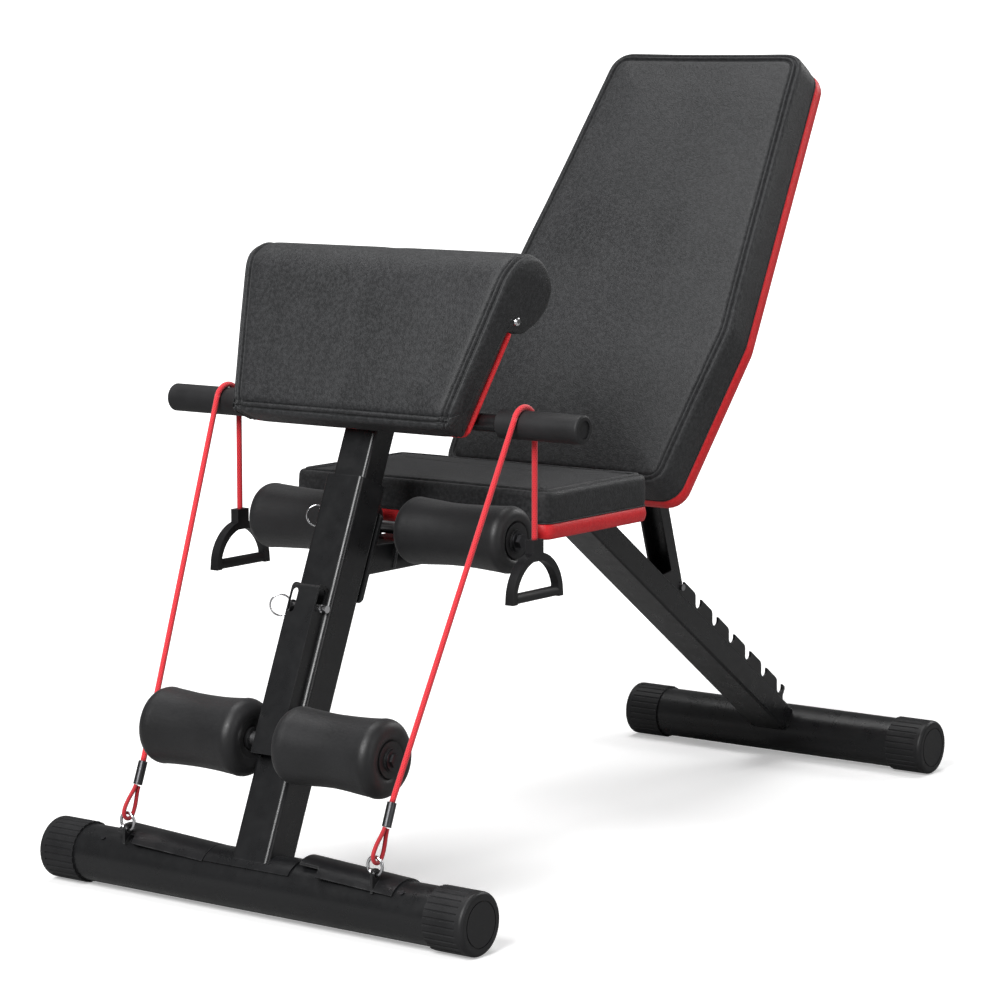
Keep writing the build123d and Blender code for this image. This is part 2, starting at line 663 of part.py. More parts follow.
with BuildPart() as roller_lock_pin:
    with BuildSketch(across(LOCK_START, LOCK, -1)):
        Circle(LOCK_R)
    extrude(amount=LOCK_L)
    # waisted tip on the right
    with BuildSketch(across(LOCK_START, LOCK, 1)):
        Circle(LOCK_WAIST_R)
    extrude(amount=LOCK_WAIST_L)
    with BuildSketch(across(LOCK_TIP_X, LOCK, 1)):
        Circle(LOCK_R)
    extrude(amount=LOCK_TIP_L)
    # collar on the left
    with BuildSketch(across(LOCK_COLLAR_X, LOCK, -1)):
        Circle(LOCK_COLLAR_R)
    extrude(amount=LOCK_COLLAR_T)
    with Locations(pull_ring_location(-CARRIER_W / 2 - 3.0, LOCK)):
        Torus(PULL_RING_R, PULL_WIRE_R)
save(roller_lock_pin, "roller_lock_pin")

# ================================================================ SEAT
SEAT_Z = 420.0               # top of the cushion
SEAT_HALF = 170.0
SEAT_FRONT, SEAT_BACK = FRONT_Y + 262.0, FRONT_Y + 451.0
SEAT_MID = (0, (SEAT_FRONT + SEAT_BACK) / 2)
SEAT_L = SEAT_BACK - SEAT_FRONT
SEAT_FOAM, SEAT_BOARD = 35.0, 17.0
SEAT_CORNER_R = 11.0
BOARD_BOTTOM = SEAT_Z - SEAT_FOAM - SEAT_BOARD
MOUNT_MID = (0, SEAT_FRONT + 95)       # centre of the mounting plate and its bolts
MOUNT_W, MOUNT_L, MOUNT_CORNER_R = 150.0, 130.0, 10.0
SEAT_BOLT_GRID = (116, 96, 2, 2)       # X pitch, Y pitch, counts

with BuildPart() as seat_mount_plate:
    with BuildSketch(Plane.XY.offset(RAIL_TOP + GAP)):
        with Locations(MOUNT_MID):
            RectangleRounded(MOUNT_W, MOUNT_L, MOUNT_CORNER_R)
    extrude(amount=BOARD_BOTTOM - RAIL_TOP - 2 * GAP)
    with BuildSketch(Plane.XY.offset(RAIL_TOP)):
        with Locations(MOUNT_MID):
            with GridLocations(*SEAT_BOLT_GRID):
                Circle(M6_HOLE_R)
    extrude(amount=10, mode=Mode.SUBTRACT)
save(seat_mount_plate, "seat_mount_plate")

with BuildPart() as seat_board:
    with BuildSketch(Plane.XY.offset(BOARD_BOTTOM)):
        with Locations(SEAT_MID):
            RectangleRounded(2 * SEAT_HALF, SEAT_L, SEAT_CORNER_R)
    extrude(amount=SEAT_BOARD)
    with BuildSketch(Plane.XY.offset(BOARD_BOTTOM)):
        with Locations(MOUNT_MID):
            with GridLocations(*SEAT_BOLT_GRID):
                Circle(M6_HOLE_R)
    extrude(amount=12, mode=Mode.SUBTRACT)
    fillet(seat_board.faces().sort_by(Axis.Z)[0].outer_wire().edges(), 3)
save(seat_board, "seat_board")

with BuildPart() as seat_cushion:
    with BuildSketch(Plane.XY.offset(SEAT_Z - SEAT_FOAM + GAP)):
        with Locations(SEAT_MID):
            RectangleRounded(2 * SEAT_HALF, SEAT_L, SEAT_CORNER_R)
    extrude(amount=SEAT_FOAM - GAP)
    fillet(seat_cushion.faces().sort_by(Axis.Z)[-1].edges(), 7)
save(seat_cushion, "seat_cushion")

SEAT_BOLT_L = 16.0
END_BOLT_L = 4.0

with BuildPart() as frame_bolts:
    # M6 bolts up through the seat plate
    with BuildSketch(Plane.XY.offset(RAIL_TOP)):
        with Locations(MOUNT_MID):
            with GridLocations(*SEAT_BOLT_GRID):
                RegularPolygon(M6_HEX, 6, major_radius=False)
    extrude(amount=-M6_HEAD)
    with BuildSketch(Plane.XY.offset(RAIL_TOP)):
        with Locations(MOUNT_MID):
            with GridLocations(*SEAT_BOLT_GRID):
                Circle(M6_R)
    extrude(amount=SEAT_BOLT_L)
    # M8 bolts through the rail's end plate
    with BuildSketch(post_face(RAIL_START_O)):
        with Locations(*END_BOLTS):
            RegularPolygon(M8_HEX, 6, major_radius=False)
    extrude(amount=-M8_HEAD)
    with BuildSketch(post_face(RAIL_START_O)):
        with Locations(*END_BOLTS):
            Circle(M8_R)
    extrude(amount=END_BOLT_L)
    # small button heads beside the foot plates
    for x in BUTTON_XS:
        with BuildSketch(button_plane(x, 1)):
            Circle(BUTTON_R)
        extrude(amount=BUTTON_H)
        with BuildSketch(button_plane(x, -1)):
            Circle(BUTTON_SHANK_R)
        extrude(amount=BUTTON_SHANK_L)
save(frame_bolts, "frame_bolts")

# ================================================================ BACKREST
# u is measured up the backrest from its bottom edge, v behind its front face
TILT = radians(34.5)         # front face from upright
BACKREST_Y, BACKREST_Z = FRONT_Y + 499.0, 400.0        # bottom edge of the front face
BACKREST_L, KINK_U = 568.7, 199.5
BOTTOM_HALF, KINK_HALF, TOP_HALF = 150.0, 167.5, 132.0
BOTTOM_CORNER_R, KINK_CORNER_R, TOP_CORNER_R = 24, 18, 26
BACKREST_FOAM, BACKREST_BOARD = 42.0, 18.0
BACKREST_REAR = BACKREST_FOAM + BACKREST_BOARD
BACKREST_OUTLINE = [         # X, u
    (-BOTTOM_HALF, 0), (BOTTOM_HALF, 0), (KINK_HALF, KINK_U),
    (TOP_HALF, BACKREST_L), (-TOP_HALF, BACKREST_L), (-KINK_HALF, KINK_U),
]
ARM_BOLTS = [(x, u) for x in (-46.0, 46.0) for u in (40.0, 130.0, 226.0)]


def back(u, v):
    """Side-view point u up the backrest, v behind its front face."""
    return (
        BACKREST_Y + u * sin(TILT) + v * cos(TILT),
        BACKREST_Z + u * cos(TILT) - v * sin(TILT),
    )


def back_face(v):
    """Plane parallel to the backrest's front: local y runs up it, normal to the front."""
    return Plane(origin=(0, *back(0, v)), x_dir=(1, 0, 0), z_dir=(0, -cos(TILT), sin(TILT)))


def round_backrest_corners(sketch):
    """Round the outline's corners in the sketch being built."""
    fillet(sketch.vertices().group_by(Axis.Y)[0], BOTTOM_CORNER_R)
    fillet(sketch.vertices().filter_by(lambda v: abs(v.Y - KINK_U) < 1), KINK_CORNER_R)
    fillet(sketch.vertices().filter_by(lambda v: abs(v.Y - BACKREST_L) < 1), TOP_CORNER_R)


with BuildPart() as backrest_cushion:
    with BuildSketch(back_face(0)) as cushion_shape:
        with BuildLine():
            Polyline(*BACKREST_OUTLINE, close=True)
        make_face()
        round_backrest_corners(cushion_shape)
    extrude(amount=-(BACKREST_FOAM - GAP))
    forward = Axis((0, 0, 0), (0, -cos(TILT), sin(TILT)))
    fillet(backrest_cushion.faces().sort_by(forward)[-1].edges(), 9)
save(backrest_cushion, "backrest_cushion")

with BuildPart() as backrest_board:
    with BuildSketch(back_face(BACKREST_FOAM)) as board_shape:
        with BuildLine():
            Polyline(*BACKREST_OUTLINE, close=True)
        make_face()
        round_backrest_corners(board_shape)
    extrude(amount=-BACKREST_BOARD)
    with BuildSketch(back_face(BACKREST_REAR)):
        with Locations(*ARM_BOLTS):
            Circle(M8_HOLE_R)
    extrude(amount=13, mode=Mode.SUBTRACT)
save(backrest_board, "backrest_board")

# angle arms behind the backrest: they straddle the rail and carry the pivot and the strut
LINK = (FRONT_Y + 655.7, 509.0)        # strut pivot behind the backrest
LINK_R = 4.0
LINK_HOLE_R = LINK_R + GAP
PIVOT_U = (PIVOT[0] - BACKREST_Y) * sin(TILT) + (PIVOT[1] - BACKREST_Z) * cos(TILT)
PIVOT_V = (PIVOT[0] - BACKREST_Y) * cos(TILT) - (PIVOT[1] - BACKREST_Z) * sin(TILT)
ARM_IN, ARM_T = 27.1, 4.0    # inner face of the right arm, thickness
ARM_OUT = ARM_IN + ARM_T
ARM_EYE_R = 13.0
ARM_TOP_U = 252.0
ARM_FRONT = BACKREST_REAR + 0.1
FLANGE_LOW_U = 14.0
FLANGE_BACK = ARM_FRONT + 3.0
FLANGE_W, FLANGE_OVERLAP = 26.0, 0.5   # beyond the arm, into the arm
LINK_POCKET_R, LINK_POCKET_L = 7.0, 6.0          # room for the heads of the strut's top pin
STRUT_HALF = 16.0
LINK_BOSS_IN, LINK_BOSS_R = STRUT_HALF + 0.15, 6.6
ARM_OUTLINE = [              # u, v
    (PIVOT_U - 2, PIVOT_V - 12.9), (2, ARM_FRONT), (ARM_TOP_U, ARM_FRONT),
    (ARM_TOP_U, BACKREST_REAR + 8), (236, BACKREST_REAR + 16), (60, BACKREST_REAR + 20),
    (PIVOT_U + 9, PIVOT_V + 9.3),
]
FLANGE_OUTLINE = [           # u, v
    (FLANGE_LOW_U, ARM_FRONT), (ARM_TOP_U, ARM_FRONT),
    (ARM_TOP_U, FLANGE_BACK), (FLANGE_LOW_U, FLANGE_BACK),
]

with BuildPart() as backrest_arms:
    for arm_x in (ARM_IN, -ARM_OUT):
        with BuildSketch(side(arm_x)):
            with BuildLine():
                Polyline(*[back(u, v) for u, v in ARM_OUTLINE], close=True)
            make_face()
            with Locations(PIVOT):
                Circle(ARM_EYE_R)
            with Locations(PIVOT):
                Circle(PIVOT_R + GAP, mode=Mode.SUBTRACT)
            with Locations(LINK):
                Circle(LINK_HOLE_R, mode=Mode.SUBTRACT)
        extrude(amount=ARM_T)
    # board flanges
    for flange_x in (ARM_OUT - FLANGE_OVERLAP, -ARM_OUT - FLANGE_W):
        with BuildSketch(side(flange_x)):
            with BuildLine():
                Polyline(*[back(u, v) for u, v in FLANGE_OUTLINE], close=True)
            make_face()
        extrude(amount=FLANGE_W + FLANGE_OVERLAP)
    with BuildSketch(back_face(BACKREST_REAR)):
        with Locations(*ARM_BOLTS):
            Circle(M8_HOLE_R)
    extrude(amount=-5, mode=Mode.SUBTRACT)
    for pocket_x in (ARM_OUT, -ARM_OUT - LINK_POCKET_L):
        with BuildSketch(side(pocket_x)):
            with Locations(LINK):
                Circle(LINK_POCKET_R)
        extrude(amount=LINK_POCKET_L, mode=Mode.SUBTRACT)
    # bosses that space the strut
    for way in (-1, 1):
        with BuildSketch(across(way * LINK_BOSS_IN, LINK, way)):
            Circle(LINK_BOSS_R)
            Circle(LINK_HOLE_R, mode=Mode.SUBTRACT)
        extrude(amount=ARM_IN - LINK_BOSS_IN)
save(backrest_arms, "backrest_arms")

ARM_BOLT_L = 15.0

with BuildPart() as backrest_bolts:
    with BuildSketch(back_face(FLANGE_BACK + GAP)):
        with Locations(*ARM_BOLTS):
            RegularPolygon(M8_HEX, 6, major_radius=False)
    extrude(amount=-M8_HEAD)
    with BuildSketch(back_face(FLANGE_BACK + GAP)):
        with Locations(*ARM_BOLTS):
            Circle(M8_R)
    extrude(amount=ARM_BOLT_L)
save(backrest_bolts, "backrest_bolts")

HEAD_X = ARM_OUT + 0.1       # seat of the heads outside the arms
PIVOT_HEAD_H = 6.0

with BuildPart() as pivot_bolt:
    with BuildSketch(across(-HEAD_X, PIVOT, 1)):
        Circle(PIVOT_R)
    extrude(amount=2 * HEAD_X)
    for way in (-1, 1):
        with BuildSketch(across(way * HEAD_X, PIVOT, way)):
            RegularPolygon(BIG_HEX, 6, major_radius=False)
        extrude(amount=PIVOT_HEAD_H)
save(pivot_bolt, "pivot_bolt")

# ================================================================ STRUT
# d is measured down the strut from its upper pivot, w behind its line
STRUT_L = hypot(LINK[0] - NOTCH[0], LINK[1] - NOTCH[1])
STRUT_DOWN = ((NOTCH[0] - LINK[0]) / STRUT_L, (NOTCH[1] - LINK[1]) / STRUT_L)
STRUT_BACK = (-STRUT_DOWN[1], STRUT_DOWN[0])
STRUT_EYE_R = 6.6
STRUT_HOLLOW_HALF = 13.4
STRUT_OUTLINE = [            # d, w
    (0, -STRUT_EYE_R), (STRUT_L, -STRUT_EYE_R), (STRUT_L + 3.5, 5), (STRUT_L + 2, 9),
    (STRUT_L - 1, 10), (26, 10), (0, STRUT_EYE_R),
]
STRUT_HOLLOW = [             # d, w: leaves a web at the back only along the middle
    (-12, -16), (STRUT_L + 12, -16), (STRUT_L + 12, 16), (STRUT_L - 8, 16),
    (STRUT_L - 8, 7.4), (30, 7.4), (30, 16), (-12, 16),
]


def strut(d, w):
    """Side-view point d down the strut, w behind its line."""
    return (
        LINK[0] + d * STRUT_DOWN[0] + w * STRUT_BACK[0],
        LINK[1] + d * STRUT_DOWN[1] + w * STRUT_BACK[1],
    )


with BuildPart() as strut_channel:
    with BuildSketch(side(-STRUT_HALF)):
        with BuildLine():
            Polyline(*[strut(d, w) for d, w in STRUT_OUTLINE], close=True)
        make_face()
        with Locations(LINK, NOTCH):
            Circle(STRUT_EYE_R)
            Circle(LINK_HOLE_R, mode=Mode.SUBTRACT)
    extrude(amount=2 * STRUT_HALF)
    with BuildSketch(side(-STRUT_HOLLOW_HALF)):
        with BuildLine():
            Polyline(*[strut(d, w) for d, w in STRUT_HOLLOW], close=True)
        make_face()
    extrude(amount=2 * STRUT_HOLLOW_HALF, mode=Mode.SUBTRACT)
save(strut_channel, "strut_channel")

LINK_HEAD_R, LINK_HEAD_H = 6.0, 4.0

with BuildPart() as strut_top_pin:
    with BuildSketch(across(-HEAD_X, LINK, 1)):
        Circle(LINK_R)
    extrude(amount=2 * HEAD_X)
    for way in (-1, 1):
        with BuildSketch(across(way * HEAD_X, LINK, way)):
            Circle(LINK_HEAD_R)
        extrude(amount=LINK_HEAD_H)
save(strut_top_pin, "strut_top_pin")

FOOT_PIN_HALF = 24.0

with BuildPart() as strut_foot_pin:
    with BuildSketch(across(-FOOT_PIN_HALF, NOTCH, 1)):
        Circle(FOOT_PIN_R)
    extrude(amount=2 * FOOT_PIN_HALF)
save(strut_foot_pin, "strut_foot_pin")

# ================================================================ PAD POST
BAR = post(500.0, -8.0)      # handlebar axis
BAR_Y, BAR_Z = BAR
BAR_R, BAR_WALL, BAR_HALF = 9.5, 1.5, 268.0
PAD_CORNER_R, PAD_BORE_CORNER_R = 4.0, 2.5
HEIGHT_HOLE_R, HEIGHT_PITCH = 4.8, 25.0

with BuildPart() as pad_post:
    with BuildSketch(post_plane(PAD_POST_LOW)):
        with Locations((0, PAD_MID_O)):
            RectangleRounded(PAD_W, PAD_DEPTH, PAD_CORNER_R)
            RectangleRounded(
                PAD_W - 2 * WALL, PAD_DEPTH - 2 * WALL, PAD_BORE_CORNER_R, mode=Mode.SUBTRACT
            )
    extrude(amount=PAD_POST_TOP - PAD_POST_LOW)
    with BuildSketch(side(-CUT_X)):
        with Locations(BAR):
            Circle(BAR_R + GAP)
    extrude(amount=2 * CUT_X, mode=Mode.SUBTRACT)
    # height holes in the left wall
    with BuildSketch(side(-CUT_X)):
        with Locations(*[post(PAD_PIN_S - k * HEIGHT_PITCH, 0) for k in range(3)]):
            Circle(HEIGHT_HOLE_R)
    extrude(amount=WALL_CUT, mode=Mode.SUBTRACT)
save(pad_post, "pad_post")

with BuildPart() as handlebar:
    with BuildSketch(side(-BAR_HALF)):
        with Locations(BAR):
            Circle(BAR_R)
            Circle(BAR_R - BAR_WALL, mode=Mode.SUBTRACT)
    extrude(amount=2 * BAR_HALF)
save(handlebar, "handlebar")

GRIP_R = 15.0
GRIP_IN, GRIP_OUT = 166.0, 271.5

with BuildPart() as handle_grips:
    for way in (-1, 1):
        with BuildSketch(across(way * GRIP_IN, BAR, way)):
            Circle(GRIP_R)
        extrude(amount=GRIP_OUT - GRIP_IN)
    # chamfered inner ends, rounded outer ends
    chamfer(
        handle_grips.edges()
        .filter_by(GeomType.CIRCLE)
        .filter_by(lambda e: abs(abs(e.center().X) - GRIP_IN) < 0.1),
        4.5,
    )
    fillet(
        handle_grips.edges()
        .filter_by(GeomType.CIRCLE)
        .filter_by(lambda e: abs(abs(e.center().X) - GRIP_OUT) < 0.1),
        3,
    )
    with BuildSketch(side(-GRIP_OUT - 5)):
        with Locations(BAR):
            Circle(BAR_R + GAP)
    extrude(amount=2 * GRIP_OUT + 10, mode=Mode.SUBTRACT)
save(handle_grips, "handle_grips")

PLUG_HEAD_R, PLUG_HEAD_T = BAR_R - 0.3, 2.0
PLUG_R, PLUG_L = BAR_R - BAR_WALL - 0.1, 12.0

with BuildPart() as bar_end_plugs:
    for way in (-1, 1):
        with BuildSketch(across(way * (BAR_HALF + GAP), BAR, way)):
            Circle(PLUG_HEAD_R)
        extrude(amount=PLUG_HEAD_T)
        with BuildSketch(across(way * (BAR_HALF + GAP), BAR, -way)):
            Circle(PLUG_R)
        extrude(amount=PLUG_L)
save(bar_end_plugs, "bar_end_plugs")

# ================================================================ ARM PAD
# angle brackets from the pad post to the pad's board
PAD_BRACKET_T = 3.0
PAD_BRACKET_LOW, PAD_BRACKET_TOP = 520.0, 584.0  # s
PAD_BRACKET_F = PAD_F - 0.1
PAD_BRACKET_B = PAD_BRACKET_F + PAD_BRACKET_T    # back of the flanges
PAD_FLANGE_W = 35.0
PAD_FLANGE_IN = 1.0          # flange's inner edge beyond the post's flank
BRACKET_BOLTS = [(x, s) for x in (-42.0, 42.0) for s in (532.0, 572.0)]
BRACKET_BOLT_L = 9.0
CHEEK_OUTLINE = [            # s, o
    (PAD_BRACKET_LOW, PAD_BRACKET_F), (PAD_BRACKET_TOP, PAD_BRACKET_F),
    (PAD_BRACKET_TOP, 4), (576, 12), (528, 12), (PAD_BRACKET_LOW, 4),
]

with BuildPart() as pad_brackets:
    for cheek_x in (PAD_W / 2 + GAP, -PAD_W / 2 - GAP - PAD_BRACKET_T):
        with BuildSketch(side(cheek_x)):
            with BuildLine():
                Polyline(*[post(s, o) for s, o in CHEEK_OUTLINE], close=True)
            make_face()
        extrude(amount=PAD_BRACKET_T)
    for flange_x in (PAD_W / 2 + PAD_FLANGE_IN, -PAD_W / 2 - PAD_FLANGE_IN - PAD_FLANGE_W):
        with BuildSketch(side(flange_x)):
            with BuildLine():
                Polyline(
                    *post_box(PAD_BRACKET_LOW, PAD_BRACKET_TOP, PAD_BRACKET_F, PAD_BRACKET_B),
                    close=True,
                )
            make_face()
        extrude(amount=PAD_FLANGE_W)
    with BuildSketch(post_face(-25)):
        with Locations(*BRACKET_BOLTS):
            Circle(M6_HOLE_R)
    extrude(amount=-20, mode=Mode.SUBTRACT)
    # clear of the pad post
    with BuildSketch(post_plane(500)):
        with Locations((0, PAD_MID_O)):
            RectangleRounded(PAD_W + 0.08, PAD_DEPTH + 0.08, PAD_CORNER_R)
    extrude(amount=100, mode=Mode.SUBTRACT)
save(pad_brackets, "pad_brackets")

with BuildPart() as pad_bolts:
    with BuildSketch(post_face(PAD_BRACKET_B + GAP)):
        with Locations(*BRACKET_BOLTS):
            RegularPolygon(M6_HEX, 6, major_radius=False)
    extrude(amount=-M6_HEAD)
    with BuildSketch(post_face(PAD_BRACKET_B + GAP)):
        with Locations(*BRACKET_BOLTS):
            Circle(M6_R)
    extrude(amount=BRACKET_BOLT_L)
save(pad_bolts, "pad_bolts")

PAD_FRONT = -62.8            # o of the front face
PAD_FOAM, PAD_BOARD = 35.6, 7.0
FOAM_BACK = PAD_FRONT + PAD_FOAM
BOARD_BACK = FOAM_BACK + PAD_BOARD
PAD_LOW, PAD_WIDE_S = 476.0, 652.0     # s of the bottom edge and of the full width
PAD_LOW_HALF, PAD_TOP_HALF = 142.5, 178.5
PAD_ROLL_S, PAD_ROLL_R = 633.0, 40.5   # rounded top of the pad
PAD_ROLL_O = PAD_FRONT + PAD_ROLL_R
PAD_BOARD_LOW, PAD_BOARD_TOP = 478.0, 592.0
PAD_CUT_TOP = 690.0          # above the rounded top
PAD_SCREW_S = 603.0
PAD_SCREW = post(PAD_SCREW_S, -25)     # side screws into the cushion
PAD_SCREW_R, PAD_SCREW_HEAD_R = 2.0, 4.6


def pad_half(s):
    """Half width of the arm pad at s up the post."""
    widening = (PAD_TOP_HALF - PAD_LOW_HALF) / (PAD_WIDE_S - PAD_LOW)
    return PAD_LOW_HALF + widening * (s - PAD_LOW)


with BuildPart() as pad_board:
    with BuildSketch(post_face(BOARD_BACK)) as pad_board_shape:
        with BuildLine():
            Polyline(
                (-pad_half(PAD_BOARD_LOW), PAD_BOARD_LOW),
                (pad_half(PAD_BOARD_LOW), PAD_BOARD_LOW),
                (pad_half(PAD_BOARD_TOP), PAD_BOARD_TOP),
                (-pad_half(PAD_BOARD_TOP), PAD_BOARD_TOP),
                close=True,
            )
        make_face()
        fillet(pad_board_shape.vertices().group_by(Axis.Y)[0], 10)
    extrude(amount=PAD_BOARD - GAP)
    with BuildSketch(post_face(BOARD_BACK)):
        with Locations(*BRACKET_BOLTS):
            Circle(M6_HOLE_R)
    extrude(amount=6.5, mode=Mode.SUBTRACT)
save(pad_board, "pad_board")

with BuildPart() as pad_cushion:
    with BuildSketch(side(-200)):
        with BuildLine():
            Polyline(*post_box(PAD_LOW, PAD_ROLL_S, PAD_FRONT, FOAM_BACK), close=True)
        make_face()
        with Locations(post(PAD_ROLL_S, PAD_ROLL_O)):
            Circle(PAD_ROLL_R)
    extrude(amount=400)
    # trimmed to the front-view outline
    with BuildSketch(post_face(-100)) as pad_shape:
        with BuildLine():
            Polyline(
                (-PAD_LOW_HALF, PAD_LOW), (PAD_LOW_HALF, PAD_LOW),
                (PAD_TOP_HALF, PAD_WIDE_S), (PAD_TOP_HALF, PAD_CUT_TOP),
                (-PAD_TOP_HALF, PAD_CUT_TOP), (-PAD_TOP_HALF, PAD_WIDE_S),
                close=True,
            )
        make_face()
        fillet(pad_shape.vertices().group_by(Axis.Y)[0], 12)
    extrude(amount=-160, mode=Mode.INTERSECT)
    # seats for the side screws
    for way in (-1, 1):
        with BuildSketch(across(way * (pad_half(PAD_SCREW_S) - 12), PAD_SCREW, way)):
            Circle(PAD_SCREW_R + 0.1)
        extrude(amount=30, mode=Mode.SUBTRACT)
save(pad_cushion, "pad_cushion")

with BuildPart() as pad_side_screws:
    for way in (-1, 1):
        with BuildSketch(across(way * (pad_half(PAD_SCREW_S) - 11), PAD_SCREW, way)):
            Circle(PAD_SCREW_R)
        extrude(amount=12.5)
        with BuildSketch(across(way * (pad_half(PAD_SCREW_S) + 1.2), PAD_SCREW, way)):
            Circle(PAD_SCREW_HEAD_R)
        extrude(amount=3.2)
    fillet(pad_side_screws.edges().filter_by(GeomType.CIRCLE).sort_by(Axis.X)[-1], 2.5)
    fillet(pad_side_screws.edges().filter_by(GeomType.CIRCLE).sort_by(Axis.X)[0], 2.5)
save(pad_side_screws, "pad_side_screws")

# ================================================================ CORDS
CORD_R = 3.0
CORD_X = 197.0
WRAP_R = GRIP_R + CORD_R + 0.15
WRAP_ARC = 156.3             # degrees from behind the grip, over it, to the straight run
WRAP_END = (
    BAR_Y + WRAP_R * cos(radians(WRAP_ARC)),
    BAR_Z + WRAP_R * sin(radians(WRAP_ARC)),
)
FERRULE_X = HOOK_X + 1
FERRULE_TOP = (FRONT_Y + 7.0, 137.0)
FERRULE_LOW = (FRONT_Y - 2.0, 114.0)
FERRULE_R = 4.8

with BuildPart() as cord_wraps:
    for way in (-1, 1):
        with BuildSketch(
            Plane(origin=(way * CORD_X, BAR_Y, BAR_Z), x_dir=(0, 1, 0), z_dir=(0, 0, 1))
        ):
            with Locations((WRAP_R, 0)):
                Circle(CORD_R)
        revolve(axis=Axis((0, BAR_Y, BAR_Z), (1, 0, 0)), revolution_arc=WRAP_ARC)
save(cord_wraps, "cord_wraps")

RUN_TOP_GAP, RUN_SHORTENING = 0.4, 1.6

with BuildPart() as cord_runs:
    for way in (-1, 1):
        top = Vector(way * CORD_X, *WRAP_END)
        run = Vector(way * FERRULE_X, *FERRULE_TOP) - top
        down = run.normalized()
        with BuildSketch(Plane(origin=top + down * RUN_TOP_GAP, z_dir=down)):
            Circle(CORD_R)
        extrude(amount=run.length - RUN_SHORTENING)
save(cord_runs, "cord_runs")

with BuildPart() as cord_ferrules:
    for way in (-1, 1):
        top = Vector(way * FERRULE_X, *FERRULE_TOP)
        run = Vector(way * FERRULE_X, *FERRULE_LOW) - top
        with BuildSketch(Plane(origin=top, z_dir=run.normalized())):
            Circle(FERRULE_R)
        extrude(amount=run.length)
save(cord_ferrules, "cord_ferrules")

LOOP_END = (FRONT_Y - 19.9, 81.2)
LOOP_R = 2.2
LOOP_REACH = Vector(0, LOOP_END[0] - FERRULE_LOW[0], LOOP_END[1] - FERRULE_LOW[1])
LOOP_L = LOOP_REACH.length
LOOP_DOWN = LOOP_REACH.normalized()
LOOP_ASIDE = Vector(0, LOOP_DOWN.Z, -LOOP_DOWN.Y)
# centre line of the loop: distance along from the ferrule, distance aside
LOOP_POINTS = [
    (1.2, 2.4), (14, 5.0), (26, 7.2), (LOOP_L - 2.6, 5.4),
    (LOOP_L, 0),
    (LOOP_L - 2.6, -5.4), (26, -7.2), (14, -5.0), (1.2, -2.4),
]

with BuildPart() as cord_loops:
    for way in (-1, 1):
        start = Vector(way * FERRULE_X, *FERRULE_LOW)
        with BuildLine() as loop_path:
            Spline(
                *[start + LOOP_DOWN * along + LOOP_ASIDE * aside for along, aside in LOOP_POINTS],
                tangents=(LOOP_DOWN, LOOP_DOWN * -1),
            )
        with BuildSketch(Plane(origin=loop_path.line @ 0, z_dir=loop_path.line % 0)):
            Circle(LOOP_R)
        sweep(path=loop_path.line)
save(cord_loops, "cord_loops")

SNAP_Z = 78.0
SNAP_RING_R, SNAP_WIRE_R = 9.0, 1.7

with BuildPart() as snap_rings:
    for way in (-1, 1):
        centre = (way * HOOK_X, LUG_Y, SNAP_Z)
        with BuildSketch(Plane(origin=centre, x_dir=(1, 0, 0), z_dir=(0, 0, 1))):
            with Locations((SNAP_RING_R, 0)):
                Circle(SNAP_WIRE_R)
        revolve(axis=Axis(centre, (0, 1, 0)), revolution_arc=360)
save(snap_rings, "snap_rings")

# ================================================================ HAND GRIPS ON THE CORDS
DROP_Y = BAR_Y + WRAP_R
YOKE_Z = 379.0               # top of the yoke
YOKE_T = 10.0
YOKE_LEG_IN = 35.5           # inner face of each leg from the cord
HAND_GRIP_HALF = YOKE_LEG_IN - GAP
HAND_GRIP_R, HAND_GRIP_DROP = 5.5, 57.0


def cord_drop(name, x):
    """Straight cord from the back of the bar grip down to the yoke."""
    with BuildPart() as drop:
        with BuildSketch(Plane.XY.offset(YOKE_Z + GAP)):
            with Locations((x, DROP_Y)):
                Circle(CORD_R)
        extrude(amount=BAR_Z - YOKE_Z - 2 * GAP)
    save(drop, name)


def handle_yoke(name, x):
    """Flat yoke with a stem under the cord and two curved legs; points are from its top."""
    with BuildPart() as yoke:
        with BuildSketch(across(x - YOKE_T / 2, (DROP_Y, YOKE_Z), 1)):
            with BuildLine():
                Line((-9, 0), (9, 0))
                Line((9, 0), (9, -14))
                ThreePointArc((9, -14), (31, -27), (43, -52))
                Line((43, -52), (44, -62.5))
                Line((44, -62.5), (YOKE_LEG_IN, -62.5))
                Line((YOKE_LEG_IN, -62.5), (YOKE_LEG_IN, -50))
                ThreePointArc((YOKE_LEG_IN, -50), (25, -32), (8, -22))
                Line((8, -22), (-8, -22))
                ThreePointArc((-8, -22), (-25, -32), (-YOKE_LEG_IN, -50))
                Line((-YOKE_LEG_IN, -50), (-YOKE_LEG_IN, -62.5))
                Line((-YOKE_LEG_IN, -62.5), (-44, -62.5))
                Line((-44, -62.5), (-43, -52))
                ThreePointArc((-43, -52), (-31, -27), (-9, -14))
                Line((-9, -14), (-9, 0))
            make_face()
        extrude(amount=YOKE_T)
    save(yoke, name)


def handle_grip(name, x):
    """Round bar between the yoke's legs."""
    start = (x, DROP_Y - HAND_GRIP_HALF, YOKE_Z - HAND_GRIP_DROP)
    with BuildPart() as grip:
        with BuildSketch(Plane(origin=start, x_dir=(1, 0, 0), z_dir=(0, 1, 0))):
            Circle(HAND_GRIP_R)
        extrude(amount=2 * HAND_GRIP_HALF)
    save(grip, name)


for side_name, way in SIDES:
    cord_drop(f"cord_drop_{side_name}", way * CORD_X)
    handle_yoke(f"handle_yoke_{side_name}", way * CORD_X)
    handle_grip(f"handle_grip_{side_name}", way * CORD_X)
